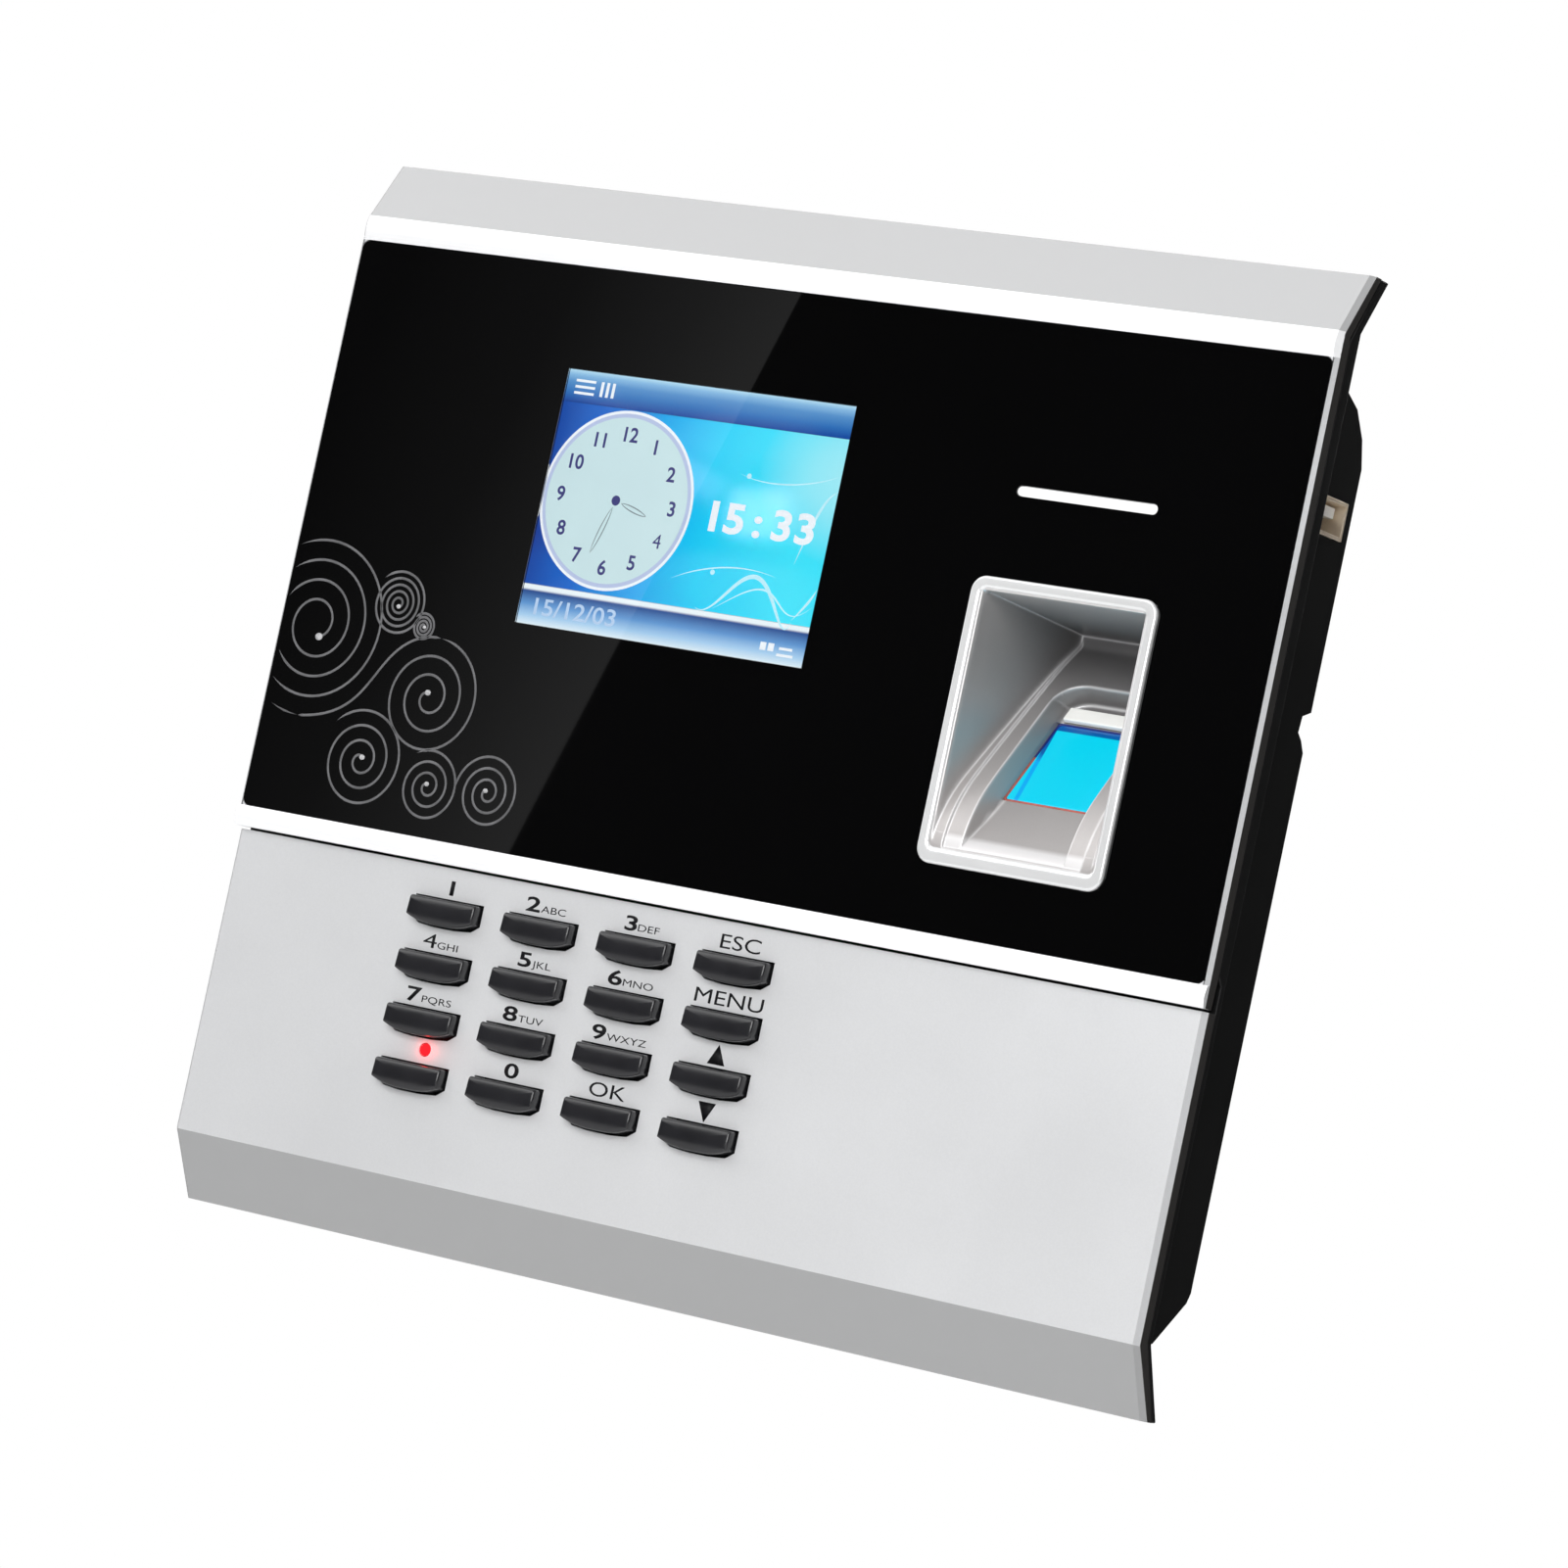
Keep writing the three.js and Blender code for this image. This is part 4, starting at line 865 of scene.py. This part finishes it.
def creased_finish():
    """The bright silver with painted light: painted highlight, nearly white, along bends and the toe, by the
    painted_highlight amount carried on the piece's own points, and painted shade that darkens it towards the
    back of the cavity."""
    made = bright_silver.copy()
    made.name = "silver_painted_light"
    tree = made.node_tree
    where = tree.nodes.new("ShaderNodeAttribute")
    where.attribute_name = "painted_highlight"
    # Painted shade: the silver darkens towards the back of the cavity.
    depth_shade = tree.nodes.new("ShaderNodeMapRange")
    depth_shade.inputs["From Min"].default_value = (glass_mm + 3) * MM
    depth_shade.inputs["From Max"].default_value = BACK_WALL * MM
    depth_shade.inputs["To Max"].default_value = 0.85
    tree.links.new(axes_of(tree)["Y"], depth_shade.inputs["Value"])
    repaint(tree, depth_shade.outputs["Result"], (0.10, 0.10, 0.104))
    repaint(tree, worked_out(tree, "MULTIPLY", where.outputs["Fac"], 0.5), (0.97, 0.97, 0.98))
    return made


# The painted highlight amounts go on the cavity's points; the points behind get none.
marks_on_points = np.concatenate([painted_highlight.ravel(), np.zeros(len(behind))])
funnel = put("bezel_funnel", np.vstack([inner, behind]) * MM, body_faces, creased_finish(),
             painted_highlight=marks_on_points)
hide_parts("fingerprint_bezel")


# ---- fingerprint sensor ----
# Coated glass platen lit cyan from below, under a white plastic strip that holds its upper edge. Its far and
# left edges show the deep blue of the prism below.

def on_ramp(x, v, n):
    """Point of the ramp: x as it is, v up the slope, n in through it."""
    y = glass_mm + v * math.sin(TILT) + n * math.cos(TILT)
    z = FOOT_Z + v * math.cos(TILT) - n * math.sin(TILT)
    return np.stack([x, y, z], -1) * MM


def platen(half, low, high, top, bottom, edge, steps=5):
    """Flat platen with rounded edges: rings of a rounded rectangle that close in over the edge's quarter
    circle, and again underneath, each end closed by a cap."""
    turn = np.linspace(0, math.pi / 2, steps)
    rings = []
    for set_in, n in zip(edge * (1 - np.sin(turn)), top + edge * (1 - np.cos(turn))):
        rings.append((set_in, n))
    rings.append((0.0, bottom))
    layers = []
    for set_in, n in rings:
        loop = rounded_loop(MIDDLE - half + set_in, MIDDLE + half - set_in, low + set_in, high - set_in,
                            0.6, 6, 5)
        layers.append(on_ramp(loop[:, 0], loop[:, 1], np.full(len(loop), n)))
    points = np.vstack(layers)
    count = len(layers[0])
    faces = grid_faces(len(layers), count, close_columns=True).tolist()
    last = (len(layers) - 1) * count
    return points, faces + [list(range(count)), list(range(last, last + count))]


def platen_finish():
    """Lit cyan across the platen; a deep blue line along its upper edge and part of its left edge, and a
    slightly bluer sliver beside it, worked out from the distance up and across the slope."""
    made = bpy.data.materials.new("sensor_glow")
    made.use_nodes = True
    tree = made.node_tree
    shader = tree.nodes["Principled BSDF"]
    shader.inputs["Base Color"].default_value = (0.0, 0.10, 0.14, 1)
    shader.inputs["Roughness"].default_value = 0.12
    foot = on_ramp(np.array(MIDDLE - SENSOR_HALF), np.array(SENSOR_LOW), np.array(RECESS_DEPTH))
    across_mm, _, up_mm = axes_of(tree, measured_from(tree, foot, (MM, MM, MM), (-TILT, 0, 0)))
    height = worked_out(tree, "DIVIDE", up_mm, SENSOR_HIGH - SENSOR_LOW)
    leaning = worked_out(tree, "DIVIDE", worked_out(tree, "MULTIPLY_ADD", up_mm, 0.12, across_mm), 20)
    cyan, blue, navy = (0.0, 0.74, 1.0), (0.0, 0.40, 1.0), (0.0, 0.01, 0.34)
    seam = ramp(tree, leaning, [(0.0, 0.0), (0.088, 0.0), (0.096, 1.0), (0.126, 1.0), (0.134, 0.0)])
    seam_blue = ramp(tree, height, [(0.0, blue), (0.5, blue), (0.62, navy)])
    top_edge = ramp(tree, height, [(0.0, 0.0), (0.905, 0.0), (0.915, 1.0)])
    lit = painted(tree, top_edge, painted(tree, seam, (*cyan, 1), seam_blue), (*navy, 1))
    tree.links.new(lit, shader.inputs["Emission Color"])
    shader.inputs["Emission Strength"].default_value = 0.75
    return made


glass_platen = put("sensor_platen", *platen(SENSOR_HALF - 0.28, SENSOR_LOW + 0.28, SENSOR_HIGH - 0.28,
                                             RECESS_DEPTH - 0.12, RECESS_DEPTH + 2.2, 0.25), platen_finish())
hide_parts("sensor_window")


def seal_ring(outside, inside, top, bottom):
    """Flat square-cut ring round the platen: the outline's section goes out, down, in and up again."""
    loops = []
    for wide, n in ((outside, top), (outside, bottom), (inside, bottom), (inside, top)):
        loop = rounded_loop(MIDDLE - SENSOR_HALF + wide, MIDDLE + SENSOR_HALF - wide, SENSOR_LOW + wide,
                            SENSOR_HIGH - wide, 0.5, 6, 5)
        loops.append(on_ramp(loop[:, 0], loop[:, 1], np.full(len(loop), n)))
    return np.vstack(loops), grid_faces(4, len(loops[0]), close_rows=True, close_columns=True)


def seal_finish():
    """Red rubber, turned navy in its upper half by the dark glass that it leans on."""
    made = finish("red_seal", (0.42, 0.10, 0.08), 0.5, tint=0.15, cloud=500, raised=0)
    tree = made.node_tree
    repaint(tree, where_between(tree, axes_of(tree)["Z"], 8.5, 30), (0.01, 0.02, 0.16))
    return made


put("sensor_seal", *seal_ring(0.02, 0.26, RECESS_DEPTH - 0.16, RECESS_DEPTH + 0.4), seal_finish())
white_strip = finish("white_strip", (0.86, 0.86, 0.83), 0.4, tint=0.03, cloud=180, grain=1500)
dress("sensor_retainer", white_strip, 0.25, 3)


# ---- status light ----
# Clear red indicator that stands a little through the keypad plate; a faint lamp in front of it carries its
# light onto the plate and the keys beside it.

dress("status_led", glow("lit_red", (1.0, 0.02, 0.03), 1.1), 0)
led_low, led_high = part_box("status_led")


def lamp(name, kind, place, power, **settings):
    """Lamp of a kind at a place; the settings are its own properties."""
    light = bpy.data.lights.new(name, kind)
    light.energy = power
    for setting, value in settings.items():
        setattr(light, setting, value)
    holder = bpy.data.objects.new(name, light)
    holder.location = place
    holder.rotation_mode = "QUATERNION"
    bpy.context.scene.collection.objects.link(holder)
    return holder


before_led = ((led_low.x + led_high.x) / 2, led_low.y - 0.9 * MM, (led_low.z + led_high.z) / 2)
lamp("status_halo", "POINT", before_led, 0.0003, color=(1.0, 0.02, 0.02), shadow_soft_size=0.5 * MM)


# ---- keys ----
# Sixteen dark grey moulded caps, crowned, with bevelled edges and a bellied underside, each on the dome of a
# grey silicone mat.

dress("keypad_mat", finish("grey_silicone", (0.05, 0.05, 0.055), 0.7, tint=0.1, cloud=200, grain=900), 0.3)
key_plastic = finish("key_plastic", (0.012, 0.012, 0.014), 0.24, tint=0.15, cloud=260, grain=2600)
KEY_ROWS = [["key_1", "key_2", "key_3", "key_esc"], ["key_4", "key_5", "key_6", "key_menu"],
            ["key_7", "key_8", "key_9", "key_up"], ["key_power", "key_0", "key_ok", "key_down"]]
key_low, key_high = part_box("key_5")
KEY_FLANGE = 1.45
KEY_HALF = (key_high.x - key_low.x) / 2 / MM - KEY_FLANGE
KEY_TALL, KEY_BELLY = 4.4, 1.15


def cap_outline(inset, count=30):
    """Outline of a cap about its middle, in mm, set in by inset: straight top and sides with small round
    corners, and an underside that bellies down as a power of the distance from the middle."""
    half, top, foot = KEY_HALF - inset, KEY_TALL / 2 - inset, -KEY_TALL / 2 + KEY_BELLY + inset
    corner = 0.35
    quarter = np.linspace(0, math.pi / 2, 5)
    arc_r = np.stack([half - corner + corner * np.cos(quarter), top - corner + corner * np.sin(quarter)], -1)
    arc_l = np.stack([-half + corner - corner * np.sin(quarter), top - corner + corner * np.cos(quarter)], -1)
    edge = np.stack([np.linspace(half - corner, -half + corner, count)[1:-1], np.full(count - 2, top)], -1)
    x = half * np.sin(np.linspace(-math.pi / 2, math.pi / 2, 2 * count))
    belly = np.stack([x, foot - KEY_BELLY * (1 - (np.abs(x) / half) ** 2.8)], -1)
    return np.vstack([arc_r, edge, arc_l, belly])


def key_cap(middle_x, middle_z, front, back):
    """Cap: rings of the outline from the middle of the face outwards, then round the edge and down the sides.
    The face is crowned: it falls back with the square of the height above and below its middle line."""
    crown = 0.45
    edge = 0.32
    rings = []
    for share in (0.0, 0.3, 0.6, 0.85, 1.0):
        flat = cap_outline(edge) * share
        rings.append((flat, crown * (flat[:, 1] / (KEY_TALL / 2)) ** 2))
    for angle in np.linspace(0, math.pi / 2, 6)[1:]:
        flat = cap_outline(edge * (1 - math.sin(angle)))
        rings.append((flat, crown * (flat[:, 1] / (KEY_TALL / 2)) ** 2 + edge * (1 - math.cos(angle))))
    points = [np.stack([middle_x + flat[:, 0], front + drop, middle_z + flat[:, 1]], -1)
              for flat, drop in rings]
    base = points[-1].copy()
    base[:, 1] = back
    centre = base.copy()
    centre[:, 0], centre[:, 2] = middle_x, middle_z
    points += [base, centre]
    return np.vstack(points) * MM, grid_faces(len(points), len(base), close_columns=True)


for row in KEY_ROWS:
    for node in row:
        low, high = (np.array(corner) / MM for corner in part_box(node))
        top_z = (low[2] + high[2]) / 2
        cap = put(node + "_cap", *key_cap((low[0] + high[0]) / 2, top_z, low[1], high[1]), key_plastic, node)
        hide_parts(node)


# ---- key legends ----
# Thin black figures and letters printed on the plate above each key, and two small arrows.

PLATE_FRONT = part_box("lower_faceplate")[0].y
legend_ink = finish("legend_ink", (0.004, 0.004, 0.005), 0.5, tint=0.2, cloud=400, raised=0, shine=0.15)
LEGENDS = [[("1", ""), ("2", "ABC"), ("3", "DEF"), ("ESC", "")],
           [("4", "GHI"), ("5", "JKL"), ("6", "MNO"), ("MENU", "")],
           [("7", "PQRS"), ("8", "TUV"), ("9", "WXYZ"), ("up", "")],
           [("", ""), ("0", ""), ("OK", ""), ("down", "")]]
prints = []
for row, labels in zip(KEY_ROWS, LEGENDS):
    for node, (big, small) in zip(row, labels):
        low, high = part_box(node)
        x = (low.x + high.x) / 2
        z = (low.z + high.z) / 2 + (KEY_TALL / 2 + 2.25) * MM
        if big in ("up", "down"):
            way = 1 if big == "up" else -1
            tip = np.array([[-1.7, -1.5 * way], [1.7, -1.5 * way], [0, 1.8 * way]]) * MM
            corners = np.stack([x + tip[:, 0], np.full(3, PLATE_FRONT - 0.01 * MM), z + tip[:, 1]], -1)
            prints.append(slab(corners, 0.012 * MM))
        elif big:
            stretch, bold = (1.5, 0.0) if len(big) > 1 else (1.8, 0.0686)
            label = [lettering(big, 2.45, (x, z), PLATE_FRONT, stretch, bold)]
            if small:
                label.append(lettering(small, 1.2, (x, z - 0.55 * MM), PLATE_FRONT, 1.6))
                label[1][0][:, 0] += label[0][0][:, 0].max() + 0.25 * MM - label[1][0][:, 0].min()
            reach = np.concatenate([points[:, 0] for points, _ in label])
            for points, _ in label:
                points[:, 0] += x - (reach.min() + reach.max()) / 2
            prints += label
put("key_legends", *several(prints), legend_ink)


# ---- studio ----
# Plain pale floor well below the terminal, a white surround for the camera, soft panels for light, a narrow
# spot on the side socket, and one dim card whose straight edge shows in the black glass.

FLOOR_Z = -0.40


def floor_disc(radius=1.15, rings=12, around_count=72):
    """Flat disc: rings of points whose radius grows evenly, closed at the centre."""
    r = np.linspace(0, radius, rings)[:, None]
    turn = np.arange(around_count)[None, :] * 2 * math.pi / around_count
    x, y = r * np.cos(turn), r * np.sin(turn)
    points = np.stack([x, y, np.full_like(x, FLOOR_Z)], -1).reshape(-1, 3)
    return points, grid_faces(rings, around_count, close_columns=True)


pale_floor = finish("pale_floor", (0.88, 0.88, 0.88), 0.7, tint=0.01, cloud=4, grain=200, raised=0.05)
floor_mesh = bpy.data.meshes.new("floor")
floor_points, floor_quads = floor_disc()
floor_mesh.from_pydata(floor_points.tolist(), [], floor_quads.tolist())
floor_mesh.materials.append(pale_floor)
floor = bpy.data.objects.new("floor", floor_mesh)
bpy.context.scene.collection.objects.link(floor)

world = bpy.data.worlds.new("studio")
world.use_nodes = True
bpy.context.scene.world = world
sky, sky_links = world.node_tree.nodes, world.node_tree.links
room = sky["Background"]
room.inputs["Color"].default_value = (1, 1, 1, 1)
room.inputs["Strength"].default_value = 0.03
backdrop = sky.new("ShaderNodeBackground")
backdrop.inputs["Color"].default_value = (1, 1, 1, 1)
backdrop.inputs["Strength"].default_value = 1.0
seen = sky.new("ShaderNodeLightPath")
either = sky.new("ShaderNodeMixShader")
sky_links.new(seen.outputs["Is Camera Ray"], either.inputs[0])
sky_links.new(room.outputs[0], either.inputs[1])
sky_links.new(backdrop.outputs[0], either.inputs[2])
sky_links.new(either.outputs[0], sky["World Output"].inputs["Surface"])


def facing(place, target):
    """Turn that points a lamp at a place towards its target."""
    return (Vector(target) - Vector(place)).to_track_quat("-Z", "Y")


def panel(name, place, target, wide, tall, power):
    """Soft light panel at a place, facing its target."""
    made = lamp(name, "AREA", place, power, shape="RECTANGLE", size=wide, size_y=tall)
    made.rotation_quaternion = facing(place, target)
    return made


panel("top_light", (-0.35, -0.35, 1.2), (0, 0, 0), 1.4, 1.0, 5)
panel("bead_light", (-0.86, -1.02, 0.83), (0, 0, 0), 1.4, 0.5, 6.5)
panel("front_light", (0.35, -1.3, 0.40), (0, 0, 0), 0.9, 0.9, 20)
panel("left_light", (-1.2, -0.2, 0.5), (0, 0, 0), 0.6, 1.0, 3)
panel("back_light", (-0.35, 1.2, 0.7), (0, 0, 0), 1.2, 0.8, 15)
panel("side_light", (1.3, 0.5, 0.5), (0, 0, 0), 0.6, 0.8, 1.2)
socket_low, socket_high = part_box("usb_socket")
SOCKET_LIGHT = (0.9, -0.35, 0.06)
glint = lamp("socket_light", "SPOT", SOCKET_LIGHT, 20, spot_size=math.radians(1.2), spot_blend=0.4,
             shadow_soft_size=0.02)
glint.rotation_quaternion = facing(SOCKET_LIGHT, (socket_low + socket_high) / 2)
card_top, card_foot = Vector((-0.648, -1.0, 0.232)), Vector((-0.721, -1.0, 0.019))
edge_lean = math.degrees(math.atan2(card_top.x - card_foot.x, card_top.z - card_foot.z))
CARD_WIDE = 0.9
middle_of_edge = (card_top + card_foot) / 2
outward = Vector((-math.cos(math.radians(edge_lean)), 0, math.sin(math.radians(edge_lean))))
card_place = middle_of_edge + outward * (CARD_WIDE / 2)
card = panel("reflection_card", card_place, card_place + Vector((0, 1, 0)), CARD_WIDE, 0.9, 0.9)
card.data.use_nodes = True
card_nodes, card_links = card.data.node_tree.nodes, card.data.node_tree.links
spot_on_card = card_nodes.new("ShaderNodeNewGeometry")
across_card = axes_of(card.data.node_tree, spot_on_card.outputs["Parametric"])["X"]
fade = ramp(card.data.node_tree, across_card, [(0.0, 0.0), (0.82, 0.03), (0.9, 0.2), (0.96, 0.6), (1.0, 1.0)])
card_links.new(fade, card_nodes["Emission"].inputs["Color"])
card.rotation_quaternion = Quaternion((0, 1, 0), math.radians(edge_lean)) @ card.rotation_quaternion

bpy.context.scene.view_settings.view_transform = "Standard"


# ---- camera ----
# Long lens about a metre off, to the right of the terminal and a little below its middle, rolled.

AZIMUTH, ELEVATION, ROLL = math.radians(33.015), math.radians(-3.162), math.radians(11.97)
AIM = Vector((7.65, -32.32, -3.13)) * MM
DISTANCE = 0.984
away = Vector((math.sin(AZIMUTH) * math.cos(ELEVATION), -math.cos(AZIMUTH) * math.cos(ELEVATION),
               math.sin(ELEVATION)))
lens = bpy.data.cameras.new("camera")
lens.lens = 140.0
lens.sensor_width = 36.0
lens.clip_start, lens.clip_end = 0.05, 20
camera = bpy.data.objects.new("camera", lens)
camera.location = AIM + away * DISTANCE
camera.rotation_mode = "QUATERNION"
camera.rotation_quaternion = (-away).to_track_quat("-Z", "Y") @ Quaternion((0, 0, 1), ROLL)
bpy.context.scene.collection.objects.link(camera)
bpy.context.scene.camera = camera
